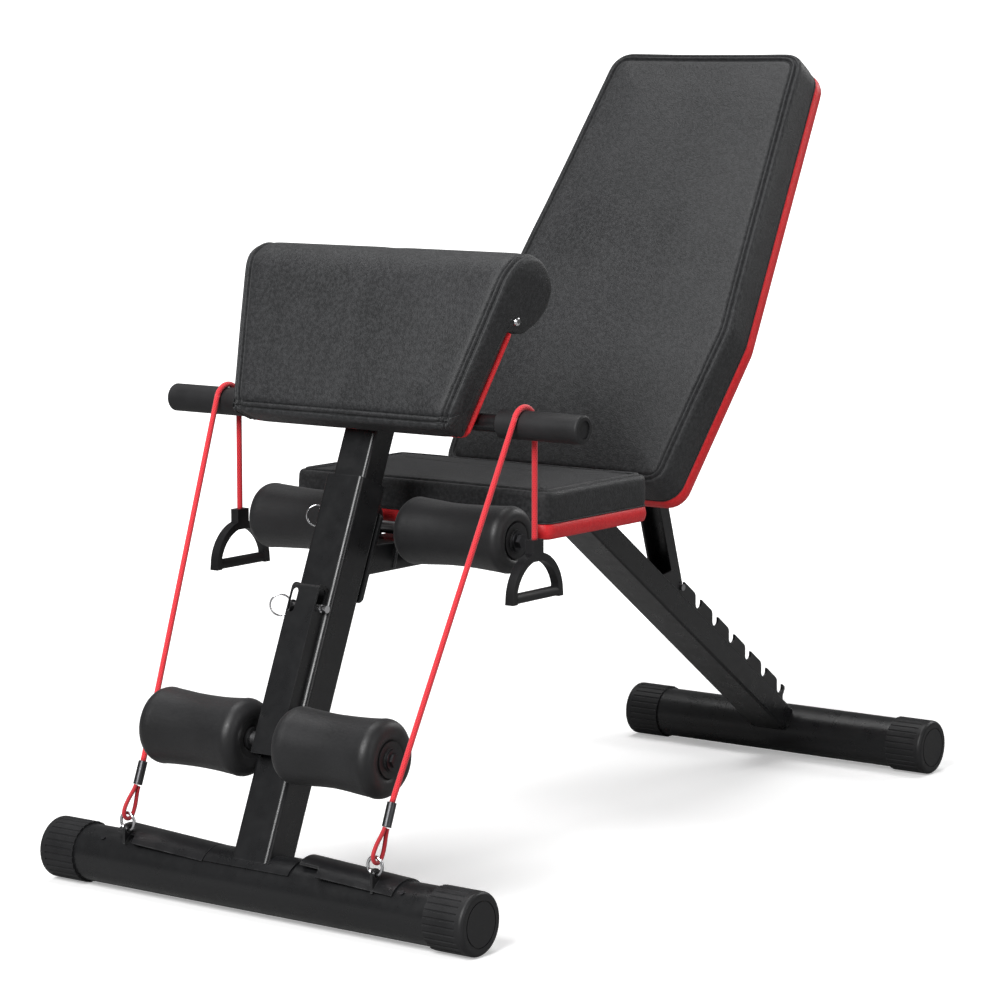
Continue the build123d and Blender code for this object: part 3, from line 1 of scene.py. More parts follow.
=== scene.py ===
"""Looks of an exercise bench with arm pad, seat, backrest, foam rollers and pull cords.

Metres, +Z up, floor at z = 0. The bench lies along Y: the post with the arm pad is at the front
(-Y), the backrest at the back (+Y), and the halves mirror in x = 0. The CAD pieces keep their
metal and plastic parts; cushions, boards, foam sleeves and cords are built here.
"""
import json
import math

import bmesh
import bpy
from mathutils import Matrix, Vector, noise


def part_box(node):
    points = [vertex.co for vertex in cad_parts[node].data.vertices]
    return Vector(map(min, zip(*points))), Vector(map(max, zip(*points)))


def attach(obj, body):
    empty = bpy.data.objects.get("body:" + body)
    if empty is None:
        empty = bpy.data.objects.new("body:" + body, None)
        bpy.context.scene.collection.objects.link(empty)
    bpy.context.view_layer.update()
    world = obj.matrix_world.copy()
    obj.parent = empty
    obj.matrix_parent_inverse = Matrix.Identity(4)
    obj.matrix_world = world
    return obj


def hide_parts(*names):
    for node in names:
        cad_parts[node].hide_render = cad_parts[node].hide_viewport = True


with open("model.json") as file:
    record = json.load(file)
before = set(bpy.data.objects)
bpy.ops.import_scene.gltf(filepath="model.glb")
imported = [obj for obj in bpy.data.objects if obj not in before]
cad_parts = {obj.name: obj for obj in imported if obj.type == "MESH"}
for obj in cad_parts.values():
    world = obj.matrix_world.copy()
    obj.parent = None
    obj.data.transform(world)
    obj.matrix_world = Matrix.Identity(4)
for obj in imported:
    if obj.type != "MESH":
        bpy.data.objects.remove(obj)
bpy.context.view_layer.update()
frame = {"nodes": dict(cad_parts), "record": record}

NODES = frame["nodes"]

# ------------------------------------------------------------------ main dimensions
X_AXIS = Vector((1, 0, 0))
Y_AXIS = Vector((0, 1, 0))
Z_AXIS = Vector((0, 0, 1))

FRONT_Y = -0.5005                  # front end of the frame
MAST_FOOT_Z = 0.0325               # where the leaning mast's axis starts, above the floor
MAST_LEAN = math.radians(22.5)     # towards the back, from upright
LEAN_SIN, LEAN_COS = math.sin(MAST_LEAN), math.cos(MAST_LEAN)

BACKREST_TILT = math.radians(34.5)  # towards the back, from upright
TILT_SIN, TILT_COS = math.sin(BACKREST_TILT), math.cos(BACKREST_TILT)
BACKREST_ORIGIN = Vector((0, FRONT_Y + 0.499, 0.400))   # middle of its lower edge, on the face
BACKREST_UP = Vector((0, TILT_SIN, TILT_COS))
BACKREST_NORMAL = Vector((0, -TILT_COS, TILT_SIN))      # out of its face
BACKREST_COVER = 0.0418            # depth of the black cover
BACKREST_BOARD_DROP = 0.042        # face to the front of the red board

SEAT_FRONT_Y, SEAT_BACK_Y = FRONT_Y + 0.262, FRONT_Y + 0.451
SEAT_MID_Y = (SEAT_FRONT_Y + SEAT_BACK_Y) / 2
SEAT_TOP_Z = 0.420
SEAT_COVER = 0.0348
SEAT_BOARD_Z = 0.385               # top of the red board

MAST_UP = Vector((0, LEAN_SIN, LEAN_COS))
PAD_NORMAL = Vector((0, -LEAN_COS, LEAN_SIN))           # out of the arm pad's face
PAD_FOOT = 0.476                   # lower edge, along the mast
PAD_FULL = 0.652                   # the pad stops widening here
PAD_HALF_FOOT, PAD_HALF_FULL = 0.1425, 0.1785
PAD_FRONT, PAD_BACK = -0.0628, -0.0272                  # faces, off the mast's axis
ROLL_ALONG, ROLL_OFF, ROLL_RADIUS = 0.633, -0.0223, 0.0405


def mast_point(along, off, x=0.0):
    """A point in the leaning mast's own frame: along it, and off it towards the back."""
    return Vector((x, FRONT_Y + along * LEAN_SIN + off * LEAN_COS,
                   MAST_FOOT_Z + along * LEAN_COS - off * LEAN_SIN))


def pad_half_width(along):
    """Half the arm pad's width, which grows up to PAD_FULL."""
    widening = PAD_HALF_FULL - PAD_HALF_FOOT
    return PAD_HALF_FOOT + widening * (min(along, PAD_FULL) - PAD_FOOT) / (PAD_FULL - PAD_FOOT)


# ------------------------------------------------------------------ shader building
class Surface:
    """A material under construction, with its principled shader and object coordinates."""

    def __init__(self, name):
        self.material = bpy.data.materials.new(name)
        self.material.use_nodes = True
        self.tree = self.material.node_tree
        self.tree.nodes.clear()
        self.output = self.add("ShaderNodeOutputMaterial")
        self.principled = self.add("ShaderNodeBsdfPrincipled")
        self.feed(self.output.inputs[0], self.principled.outputs[0])
        self.coords = self.add("ShaderNodeTexCoord")
        self.relief = None

    def add(self, kind):
        return self.tree.nodes.new(kind)

    def feed(self, socket, value):
        """Link an output to the socket, or set a plain value on it."""
        if isinstance(value, bpy.types.NodeSocket):
            self.tree.links.new(value, socket)
        else:
            socket.default_value = value

    def set(self, values):
        for key, value in values.items():
            self.feed(self.principled.inputs[key], value)

    def noise(self, scale, detail, roughness=0.5):
        node = self.add("ShaderNodeTexNoise")
        node.inputs["Scale"].default_value = scale
        node.inputs["Detail"].default_value = detail
        node.inputs["Roughness"].default_value = roughness
        self.feed(node.inputs["Vector"], self.coords.outputs["Object"])
        return node.outputs[0]

    def cells(self, scale, feature="F1"):
        """Distance to the nearest of scattered cell centres."""
        node = self.add("ShaderNodeTexVoronoi")
        node.feature = feature
        node.inputs["Scale"].default_value = scale
        self.feed(node.inputs["Vector"], self.coords.outputs["Object"])
        return node.outputs["Distance"]

    def mix(self, factor, first, second, blend="MIX"):
        node = self.add("ShaderNodeMix")
        node.data_type = "RGBA"
        node.blend_type = blend
        for index, value in ((0, factor), (6, first), (7, second)):
            self.feed(node.inputs[index], value)
        return node.outputs[2]

    def ramp(self, source, *stops):
        """Grey ramp between two stops, each (position, value)."""
        node = self.add("ShaderNodeValToRGB")
        for element, (position, value) in zip(node.color_ramp.elements, stops):
            element.position = position
            element.color = (value, value, value, 1)
        self.feed(node.inputs[0], source)
        return node.outputs[0]

    def calc(self, operation, *values):
        node = self.add("ShaderNodeMath")
        node.operation = operation
        for socket, value in zip(node.inputs, values):
            self.feed(socket, value)
        return node.outputs[0]

    def bump(self, height, strength, distance):
        """Relief laid over any relief added before it."""
        node = self.add("ShaderNodeBump")
        node.inputs["Strength"].default_value = strength
        node.inputs["Distance"].default_value = distance
        self.feed(node.inputs["Height"], height)
        if self.relief is not None:
            self.feed(node.inputs["Normal"], self.relief)
        self.relief = node.outputs[0]
        self.set({"Normal": self.relief})

    def edges(self, radius):
        """White where the surface turns sharply, found from a bevelled normal."""
        bevel = self.add("ShaderNodeBevel")
        bevel.samples = 4
        bevel.inputs["Radius"].default_value = radius
        geometry = self.add("ShaderNodeNewGeometry")
        dot = self.add("ShaderNodeVectorMath")
        dot.operation = "DOT_PRODUCT"
        self.feed(dot.inputs[0], bevel.outputs[0])
        self.feed(dot.inputs[1], geometry.outputs["Normal"])
        return self.ramp(dot.outputs["Value"], (0.72, 1.0), (0.985, 0.0))


def scaled(colour, factor, lift=0.0):
    return tuple(min(1, c * factor + lift) for c in colour[:3]) + (1,)


# ------------------------------------------------------------------ kinds of material
def vinyl(name, base, dark, light, rough=0.52, grain=1.0, specular=0.42):
    """Artificial leather: pebble grain with painted shade in its hollows, soft mottling and a
    slight sheen.
    """
    s = Surface(name)
    mottle = s.noise(scale=9.0, detail=3.0, roughness=0.55)
    speck = s.noise(scale=240.0, detail=5.0, roughness=0.65)
    pebble = s.cells(scale=620.0, feature="SMOOTH_F1")
    pore = s.cells(scale=1500.0)

    mottled = s.mix(s.ramp(mottle, (0.35, 0.0), (0.68, 1.0)), dark, base)
    specked = s.mix(s.ramp(speck, (0.42, 0.0), (0.62, 1.0)), mottled, light)
    softened = s.mix(0.45, mottled, specked)
    # painted shade: the hollows between the grain's pebbles are darkened in the base colour
    painted_hollow_shade = s.ramp(pebble, (0.0, 1.0), (0.55, 0.55))
    s.set({
        "Base Color": s.mix(0.35, softened, painted_hollow_shade, blend="MULTIPLY"),
        "Roughness": s.ramp(speck, (0.3, rough - 0.07), (0.75, rough + 0.10)),
        "Specular IOR Level": specular,
        "Sheen Weight": 0.05,
        "Sheen Roughness": 0.5,
    })

    depth = s.calc("ADD", pebble, s.calc("MULTIPLY", pore, 0.35))
    height = s.calc("ADD", s.calc("MULTIPLY", depth, -1.0), s.calc("MULTIPLY", speck, 0.9))
    s.bump(mottle, strength=0.25, distance=0.004)
    s.bump(height, strength=0.42 * grain, distance=0.0007)
    return s.material


def paint(name, base, rough, edge_tone=(0.11, 0.11, 0.112, 1), patch_scale=55.0):
    """Textured powder coat, lighter in patches along its sharp edges."""
    s = Surface(name)
    fine = s.noise(scale=1700.0, detail=2.0, roughness=0.6)
    patches = s.noise(scale=patch_scale, detail=4.0, roughness=0.6)
    cloud = s.noise(scale=6.0, detail=2.0)

    tint = s.mix(s.ramp(cloud, (0.3, 0.0), (0.7, 1.0)), scaled(base, 0.86), scaled(base, 1.18))
    # a lighter colour is mixed in along sharp edges, in patches
    lighter_edge_patches = s.calc("MULTIPLY", s.edges(radius=0.0014),
                  s.ramp(patches, (0.40, 0.15), (0.62, 0.8)))
    s.set({
        "Base Color": s.mix(lighter_edge_patches, tint, edge_tone),
        "Roughness": s.calc("ADD", s.ramp(patches, (0.3, rough - 0.06), (0.7, rough + 0.08)),
                            s.calc("MULTIPLY", fine, 0.06)),
        "Specular IOR Level": 0.5,
        "Coat Weight": 0.12,
        "Coat Roughness": 0.35,
    })
    s.bump(patches, strength=0.08, distance=0.001)
    s.bump(fine, strength=0.16, distance=0.0003)
    return s.material


def plastic(name, base, rough, grain_scale=900.0, grain=0.2):
    """Moulded plastic: fine grain and a painted highlight along its edges."""
    s = Surface(name)
    fine = s.noise(scale=grain_scale, detail=3.0, roughness=0.7)
    cloud = s.noise(scale=30.0, detail=3.0)

    tint = s.mix(s.ramp(cloud, (0.35, 0.0), (0.7, 1.0)), scaled(base, 0.8), scaled(base, 1.25))
    # painted highlight: sharp edges are lightened in the base colour
    painted_edge_highlight = s.calc("MULTIPLY", s.edges(radius=0.001), 0.5)
    s.set({
        "Base Color": s.mix(painted_edge_highlight, tint, scaled(base, 3.2, lift=0.01)),
        "Roughness": s.ramp(cloud, (0.3, rough - 0.05), (0.7, rough + 0.08)),
        "Specular IOR Level": 0.4,
    })
    s.bump(fine, strength=grain, distance=0.0004)
    return s.material


def foam(name, base):
    """Skinned closed-cell foam with tiny pores, darkened as painted shade."""
    s = Surface(name)
    pore = s.cells(scale=820.0)
    fine = s.noise(scale=420.0, detail=5.0, roughness=0.7)
    cloud = s.noise(scale=18.0, detail=3.0)

    tint = s.mix(s.ramp(cloud, (0.35, 0.0), (0.68, 1.0)), scaled(base, 0.75), scaled(base, 1.25))
    # painted shade: the pores are darkened in the base colour; the same mask dents them
    pore_shade = s.ramp(pore, (0.02, 0.45), (0.25, 1.0))
    s.set({
        "Base Color": s.mix(0.7, tint, pore_shade, blend="MULTIPLY"),
        "Roughness": s.ramp(fine, (0.3, 0.38), (0.7, 0.56)),
        "Specular IOR Level": 0.45,
        "Sheen Weight": 0.08,
    })
    s.bump(cloud, strength=0.3, distance=0.003)
    s.bump(fine, strength=0.2, distance=0.0006)
    s.bump(pore_shade, strength=0.25, distance=0.0005)
    return s.material


def metal(name, base, rough, grain=0.08):
    """Bare or plated metal; grain is the strength of its fine relief."""
    s = Surface(name)
    fine = s.noise(scale=700.0, detail=4.0, roughness=0.6)
    cloud = s.noise(scale=60.0, detail=3.0)
    s.set({
        "Base Color": s.mix(s.ramp(cloud, (0.35, 0.0), (0.7, 1.0)), scaled(base, 0.82), base),
        "Metallic": 1.0,
        "Roughness": s.ramp(fine, (0.25, rough - 0.06), (0.75, rough + 0.1)),
    })
    s.bump(fine, strength=grain, distance=0.0002)
    return s.material


def braid(name, base, dark):
    """Braided cord: crossing diagonal strands with painted shade between them, with u along the
    cord and v once round it.
    """
    strands_round = 8.0
    s = Surface(name)
    split = s.add("ShaderNodeSeparateXYZ")
    s.feed(split.inputs[0], s.coords.outputs["UV"])
    waves = []
    for direction in ("ADD", "SUBTRACT"):
        turn = s.calc("MULTIPLY", split.outputs[1], strands_round)
        diagonal = s.calc(direction, split.outputs[0], turn)
        waves.append(s.calc("ABSOLUTE", s.calc("SINE", s.calc("MULTIPLY", diagonal, math.pi))))
    height = s.calc("MAXIMUM", *waves)

    fibre = s.noise(scale=1600.0, detail=3.0)
    # painted shade: the dark colour fills the dips between the strands
    strands = s.mix(s.ramp(height, (0.45, 0.0), (0.95, 1.0)), dark, base)
    s.set({
        "Base Color": s.mix(s.calc("MULTIPLY", fibre, 0.25), strands,
                            scaled(base, 1.4, lift=0.03)),
        "Roughness": 0.62,
        "Sheen Weight": 0.35,
        "Specular IOR Level": 0.3,
    })
    s.bump(height, strength=0.6, distance=0.0007)
    return s.material


# ------------------------------------------------------------------ the materials
BLACK_VINYL = vinyl("vinyl_black_grain", base=(0.024, 0.0245, 0.026, 1),
                    dark=(0.015, 0.0155, 0.0165, 1), light=(0.060, 0.061, 0.064, 1),
                    specular=0.34)
RED_VINYL = vinyl("vinyl_red_grain", base=(0.92, 0.018, 0.026, 1), dark=(0.80, 0.012, 0.020, 1),
                  light=(0.96, 0.045, 0.05, 1), rough=0.46, grain=0.7)
UNDER_CLOTH = vinyl("underside_cloth", base=(0.022, 0.022, 0.024, 1),
                    dark=(0.014, 0.014, 0.015, 1), light=(0.035, 0.035, 0.037, 1),
                    rough=0.8, grain=1.5, specular=0.2)
FRAME_PAINT = paint("powder_coat_black", base=(0.0085, 0.0087, 0.0095, 1), rough=0.27,
                    edge_tone=(0.045, 0.045, 0.047, 1))
SMALL_PAINT = paint("powder_coat_black_small", base=(0.010, 0.010, 0.011, 1), rough=0.30,
                    patch_scale=66.0)
CAP = plastic("cap_plastic", base=(0.012, 0.012, 0.013, 1), rough=0.46)
HUB = plastic("hub_plastic", base=(0.016, 0.016, 0.017, 1), rough=0.45)
YOKE = plastic("handle_plastic", base=(0.011, 0.011, 0.012, 1), rough=0.38, grain_scale=600.0)
RUBBER = plastic("grip_rubber", base=(0.013, 0.013, 0.014, 1), rough=0.55, grain_scale=500.0,
                 grain=0.35)
FOAM = foam("roller_foam", base=(0.011, 0.011, 0.012, 1))
ZINC = metal("dull_zinc", base=(0.42, 0.42, 0.43, 1), rough=0.36, grain=0.25)
BLACK_OXIDE = metal("black_oxide", base=(0.07, 0.07, 0.075, 1), rough=0.42, grain=0.25)
CHROME = metal("polished_chrome", base=(0.86, 0.86, 0.88, 1), rough=0.12)
# the cord's dark colour is painted shade between its strands
CORD = braid("braided_cord_red", base=(0.88, 0.030, 0.045, 1), dark=(0.42, 0.010, 0.018, 1))
CRIMP = metal("crimp_black", base=(0.10, 0.10, 0.105, 1), rough=0.35)

# material of each slot in the frame's record
SLOT_MATERIALS = {
    "frame_paint": FRAME_PAINT, "cap_plastic": CAP, "pad_vinyl": BLACK_VINYL,
    "pad_red": RED_VINYL, "foam": FOAM, "grip_rubber": RUBBER, "hub_plastic": HUB,
    "fasteners": ZINC, "bright": CHROME, "cord_red": CORD,
}
# pieces that depart from their slot's material
PIECE_MATERIALS = (
    (YOKE, ("handle_yoke_left", "handle_yoke_right")),
    (CRIMP, ("cord_ferrules",)),
    (CAP, ("bar_end_plugs",)),
    (SMALL_PAINT, ("pad_pin_boss", "seat_mount_plate", "cord_hook_plates", "notched_rack",
                   "upper_axle_bracket")),
    (BLACK_OXIDE, ("strut_top_pin", "pivot_bolt", "backrest_bolts", "frame_bolts", "pad_bolts",
                   "upper_axle_bolts", "lower_axle_bolts")),
    (FRAME_PAINT, ("roller_carrier",)),
)
# bevel widths on sheet, tube and moulded parts
SOFT_EDGES = (
    (0.0005, ("front_post", "pad_post", "main_rail", "roller_carrier", "rail_end_plate",
              "notched_rack", "strut_channel", "backrest_arms", "upper_axle_bracket",
              "seat_mount_plate", "pad_brackets", "post_saddle", "cord_hook_plates",
              "pad_pin_boss")),
    (0.0018, ("handle_yoke_left", "handle_yoke_right")),
    (0.0008, ("cord_ferrules",)),
)


def dress_cad_pieces():
    slots = {part["node"]: part["material_slot"] for part in frame["record"]["subparts"]}
    own = {name: material for material, names in PIECE_MATERIALS for name in names}
    for name, piece in NODES.items():
        material = own.get(name, SLOT_MATERIALS.get(slots.get(name), FRAME_PAINT))
        if not piece.material_slots:
            piece.data.materials.append(material)
        for slot in piece.material_slots:
            slot.link = "OBJECT"
            slot.material = material


def soften_edges():
    for width, names in SOFT_EDGES:
        for name in names:
            bevel = NODES[name].modifiers.new("soft_edges", "BEVEL")
            bevel.width = width
            bevel.segments = 2
            bevel.limit_method = "ANGLE"
            bevel.angle_limit = math.radians(40)
            bevel.use_clamp_overlap = True
            bevel.harden_normals = True


dress_cad_pieces()
soften_edges()


# ------------------------------------------------------------------ mesh helpers
def bridge(bm, lower, upper, slot=0):
    """Join two closed rings of vertices with smooth quads."""
    count = len(lower)
    faces = []
    for i in range(count):
        j = (i + 1) % count
        face = bm.faces.new((lower[i], lower[j], upper[j], upper[i]))
        face.smooth = True
        face.material_index = slot
        faces.append(face)
    return faces


def mesh_object(name, bm, *materials):
    bmesh.ops.recalc_face_normals(bm, faces=bm.faces)
    mesh = bpy.data.meshes.new(name)
    bm.to_mesh(mesh)
    bm.free()
    obj = bpy.data.objects.new(name, mesh)
    bpy.context.scene.collection.objects.link(obj)
    for material in materials:
        mesh.materials.append(material)
    return obj


def register(obj, body, node):
    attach(obj, body)
    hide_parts(node)


def tube(name, path, radius, material, sides, pitch, closed=False):
    """A round cord along path with UVs: u along it in strands of one pitch, v once round."""
    bm = bmesh.new()
    uv_layer = bm.loops.layers.uv.new("UVMap")
    count = len(path)
    travelled = [0.0]
    for i in range(count):
        travelled.append(travelled[-1] + (path[(i + 1) % count] - path[i]).length)

    rings = []
    across = None
    for i, point in enumerate(path):
        if closed:
            along = (path[(i + 1) % count] - path[i - 1]).normalized()
        else:
            along = (path[min(i + 1, count - 1)] - path[max(i - 1, 0)]).normalized()
        if across is None:
            across = Vector((1, 0, 0)) if abs(along.x) < 0.9 else Vector((0, 1, 0))
        across = (across - along * across.dot(along)).normalized()
        side = along.cross(across)
        ring = []
        for k in range(sides):
            angle = 2 * math.pi * k / sides
            ring.append(bm.verts.new(point + across * (radius * math.cos(angle))
                                     + side * (radius * math.sin(angle))))
        rings.append(ring)

    for i in range(count if closed else count - 1):
        u0, u1 = travelled[i] / pitch, travelled[i + 1] / pitch
        for k, face in enumerate(bridge(bm, rings[i], rings[(i + 1) % count])):
            corners = ((u0, k), (u0, k + 1), (u1, k + 1), (u1, k))
            for loop, (u, v) in zip(face.loops, corners):
                loop[uv_layer].uv = (u, v / sides)
    if not closed:
        bm.faces.new(list(reversed(rings[0])))
        bm.faces.new(rings[-1])
    return mesh_object(name, bm, material)


# ------------------------------------------------------------------ flat outlines
def rounded_outline(points, radii):
    """Closed 2D outline with each corner rounded by its own radius."""
    steps = 10
    outline = []
    count = len(points)
    for i in range(count):
        corner = Vector(points[i])
        back = (Vector(points[i - 1]) - corner).normalized()
        ahead = (Vector(points[(i + 1) % count]) - corner).normalized()
        half = math.acos(back.dot(ahead)) / 2
        radius = radii[i]
        reach = radius / math.tan(half)
        centre = corner + (back + ahead).normalized() * (radius / math.sin(half))
        start, end = corner + back * reach, corner + ahead * reach
        angle0 = math.atan2(start.y - centre.y, start.x - centre.x)
        angle1 = math.atan2(end.y - centre.y, end.x - centre.x)
        while angle1 - angle0 > math.pi:
            angle1 -= 2 * math.pi
        while angle1 - angle0 < -math.pi:
            angle1 += 2 * math.pi
        for k in range(steps + 1):
            angle = angle0 + (angle1 - angle0) * k / steps
            outline.append(Vector((centre.x + radius * math.cos(angle),
                                   centre.y + radius * math.sin(angle))))
    return outline


def resample(points, step):
    """Even points round a closed outline, about one step apart."""
    count = len(points)
    lengths = [(points[(i + 1) % count] - points[i]).length for i in range(count)]
    total = sum(lengths)
    samples = int(round(total / step))
    even = []
    for k in range(samples):
        rest = total * k / samples
        i = 0
        while i < count - 1 and rest > lengths[i]:
            rest -= lengths[i]
            i += 1
        even.append(points[i].lerp(points[(i + 1) % count], min(1.0, rest / lengths[i])))
    return even


def middle(points):
    return sum(points, Vector((0, 0))) / len(points)


def right_normal(points, i):
    """Unit normal to the right of travel at point i of a closed outline."""
    along = (points[(i + 1) % len(points)] - points[i - 1]).normalized()
    return Vector((along.y, -along.x))


def outward_normals(points):
    centre = middle(points)
    normals = []
    for i, point in enumerate(points):
        normal = right_normal(points, i)
        normals.append(normal if normal.dot(point - centre) > 0 else -normal)
    return normals


BACKREST_CORNERS = [(-0.150, 0), (0.150, 0), (0.1675, 0.1995),
                    (0.132, 0.5687), (-0.132, 0.5687), (-0.1675, 0.1995)]   # (x, up its face)
BACKREST_OUTLINE = rounded_outline(BACKREST_CORNERS, [0.024, 0.024, 0.018, 0.026, 0.026, 0.018])

SEAT_CORNERS = [(-0.170, SEAT_FRONT_Y), (0.170, SEAT_FRONT_Y),
                (0.170, SEAT_BACK_Y), (-0.170, SEAT_BACK_Y)]                # (x, y)
SEAT_OUTLINE = rounded_outline(SEAT_CORNERS, [0.011] * 4)

# ------------------------------------------------------------------ cushions
# sewn edge of every cushion, inwards: (distance in from the side, height against the face)
SEWN_EDGE = [
    (0.0000, -0.0078), (0.0006, -0.0050), (0.0022, -0.0026), (0.0042, -0.0015),
    (0.0056, -0.0036), (0.0066, -0.0034), (0.0074, -0.0006), (0.0086, 0.0006),
    (0.0098, -0.0002), (0.0107, -0.0030), (0.0118, -0.0032), (0.0134, -0.0008),
    (0.0165, 0.0002), (0.0220, 0.0008),
]
RIM_HEIGHT = SEWN_EDGE[0][1]
FACE_INSET, FACE_HEIGHT = SEWN_EDGE[-1]     # where the free face starts
# rounded back edge of a slab cushion: (distance in from the side, height above the back)
BACK_EDGE = [(0.0030, 0.0), (0.0012, 0.0004), (0.0003, 0.0020)]
SIDE_START, SIDE_END = 0.0030, 0.0095       # side panel: above the back, below the face
SIDE_RINGS = 7
FACE_RINGS = 16
COVER_STEP = 0.0078                         # spacing of vertices round a cover
FREE_REACH = 0.020                          # a face is fully free this far from its seam
SWELL_LIMIT = 0.0030                        # most the cloth may move
CLOTH_FRAMES = 20


def make_active(obj):
    bpy.ops.object.select_all(action="DESELECT")
    obj.select_set(True)
    bpy.context.view_layer.objects.active = obj


def simulate_pressure(obj, free):
    """Swell the cover with air pressure, pinned by 1 - free at each vertex."""
    held = obj.vertex_groups.new(name="held")
    for i, freedom in enumerate(free):
        if freedom < 1.0:
            held.add([i], 1.0 - freedom, "REPLACE")
    cloth = obj.modifiers.new("cloth", "CLOTH")
    settings = cloth.settings
    settings.quality = 2
    settings.mass = 0.4
    settings.use_pressure = True
    settings.uniform_pressure_force = 4.0
    settings.tension_stiffness = 20
    settings.compression_stiffness = 20
    settings.shear_stiffness = 10
    settings.bending_stiffness = 0.8
    settings.vertex_group_mass = "held"
    settings.pin_stiffness = 1.0
    settings.effector_weights.gravity = 0
    cloth.collision_settings.use_collision = False
    scene = bpy.context.scene
    scene.frame_start, scene.frame_end = 1, CLOTH_FRAMES
    for number in range(1, CLOTH_FRAMES + 1):
        scene.frame_set(number)
    make_active(obj)
    bpy.ops.object.modifier_apply(modifier="cloth")
    scene.frame_set(1)
    obj.vertex_groups.clear()


def swell(obj, free):
    """Swell the free part of a cover, then limit and smooth the movement."""
    rest = [v.co.copy() for v in obj.data.vertices]
    simulate_pressure(obj, free)
    mesh = obj.data
    moves = []
    for vertex, start, freedom in zip(mesh.vertices, rest, free):
        move = (vertex.co - start) * freedom
        moves.append(move.normalized() * SWELL_LIMIT if move.length > SWELL_LIMIT else move)
    neighbours = [[] for _ in moves]
    for edge in mesh.edges:
        a, b = edge.vertices
        neighbours[a].append(b)
        neighbours[b].append(a)
    for _ in range(6):
        moves = [
            move if freedom <= 0.0
            else 0.4 * move + 0.6 * sum((moves[k] for k in near), Vector()) / len(near)
            for move, freedom, near in zip(moves, free, neighbours)
        ]
    for vertex, start, move in zip(mesh.vertices, rest, moves):
        vertex.co = start + move


def cover_object(name, bm, rows):
    """Join the rows of a cover."""
    for lower, upper in zip(rows, rows[1:]):
        bridge(bm, lower, upper)


def close_cover(name, bm, first_cap, second_cap):
    """Cap both ends of a cover with triangles and make the object."""
    caps = [bm.faces.new(first_cap), bm.faces.new(second_cap)]
    bmesh.ops.triangulate(bm, faces=caps, quad_method="BEAUTY", ngon_method="BEAUTY")
    return mesh_object(name, bm, BLACK_VINYL)


def bridge_rows(bm, rows):
    for lower, upper in zip(rows, rows[1:]):
        bridge(bm, lower, upper)


del cover_object


def finish_cushion(obj, body, node):
    subdivision = obj.modifiers.new("sub", "SUBSURF")
    subdivision.levels = subdivision.render_levels = 1
    subdivision.use_limit_surface = False
    make_active(obj)
    bpy.ops.object.modifier_apply(modifier="sub")
    for polygon in obj.data.polygons:
        polygon.use_smooth = True
    register(obj, body, node)


def slab_cover(name, outline, corners, spine, origin, up, normal, thick, crown, seed):
    """Upholstered slab: side panel drawn in between the corners, sewn welt and crowned face.

    The outline lies in the (x, up) plane; spine is the pair of heights the face's rings close on.
    """
    points = resample(outline, COVER_STEP)
    normals = outward_normals(points)
    corners = [Vector(corner) for corner in corners]
    bm = bmesh.new()
    free = []

    def draw_in(point):
        distance = min((point - corner).length for corner in corners)
        return 0.0011 * (1 - math.exp(-max(0.0, distance - 0.02) / 0.05))

    def add_vertex(point, height, freedom):
        free.append(freedom)
        return bm.verts.new(origin + X_AXIS * point.x + up * point.y + normal * height)

    def held_ring(inset, height, draw_share):
        return [add_vertex(point - outward * (inset + draw_in(point) * draw_share), height, 0.0)
                for point, outward in zip(points, normals)]

    rows = [held_ring(inset, -thick + height, 0.0) for inset, height in BACK_EDGE]
    for j in range(SIDE_RINGS):
        t = (j + 0.5) / SIDE_RINGS
        belly = 0.0008 * math.sin(math.pi * t)
        height = -thick + SIDE_START + (thick - SIDE_START - SIDE_END) * t
        rows.append(held_ring(-belly * 0.55, height, 0.9))
    for inset, height in SEWN_EDGE:
        rows.append(held_ring(inset, height, max(0.0, 1 - inset / 0.02)))

    face_edge = [point - outward * FACE_INSET for point, outward in zip(points, normals)]
    for j in range(1, FACE_RINGS + 1):
        t = j / FACE_RINGS
        level = t ** 2 * (3 - 2 * t)       # evens the crown out towards the spine
        ring = []
        for point in face_edge:
            centre = Vector((0.0, max(spine[0], min(spine[1], point.y))))
            place = point.lerp(centre, t ** 0.92 * 0.92)
            distance = (point - place).length
            rise = (1 - math.exp(-distance / 0.045)) * (1 - level) + 0.93 * level
            ring.append(add_vertex(place, FACE_HEIGHT + crown * rise,
                                   min(1.0, distance / FREE_REACH)))
        rows.append(ring)
    bridge_rows(bm, rows)
    obj = close_cover(name, bm, rows[-1], list(reversed(rows[0])))
    swell(obj, free)

    # slight unevenness: across the face and its edge, and sideways on the side panel
    for vertex in obj.data.vertices:
        place = vertex.co - origin
        height = place.dot(normal)
        rise = place.dot(up)
        if height > -0.012:
            broad = noise.noise(Vector((place.x * 13 + seed, rise * 13, 1.3)))
            fine = noise.noise(Vector((place.x * 45 + seed, rise * 45, 7.7)))
            vertex.co += normal * (0.00055 * broad + 0.00022 * fine)
        else:
            ripple = noise.noise(Vector((place.x * 20, rise * 30 + seed, height * 40)))
            vertex.co += X_AXIS * (0.0004 * ripple)
    return obj


def backrest_pad():
    return slab_cover("backrest_pad", BACKREST_OUTLINE, BACKREST_CORNERS, spine=(0.135, 0.450),
                      origin=BACKREST_ORIGIN, up=BACKREST_UP, normal=BACKREST_NORMAL,
                      thick=BACKREST_COVER, crown=0.0034, seed=2.0)


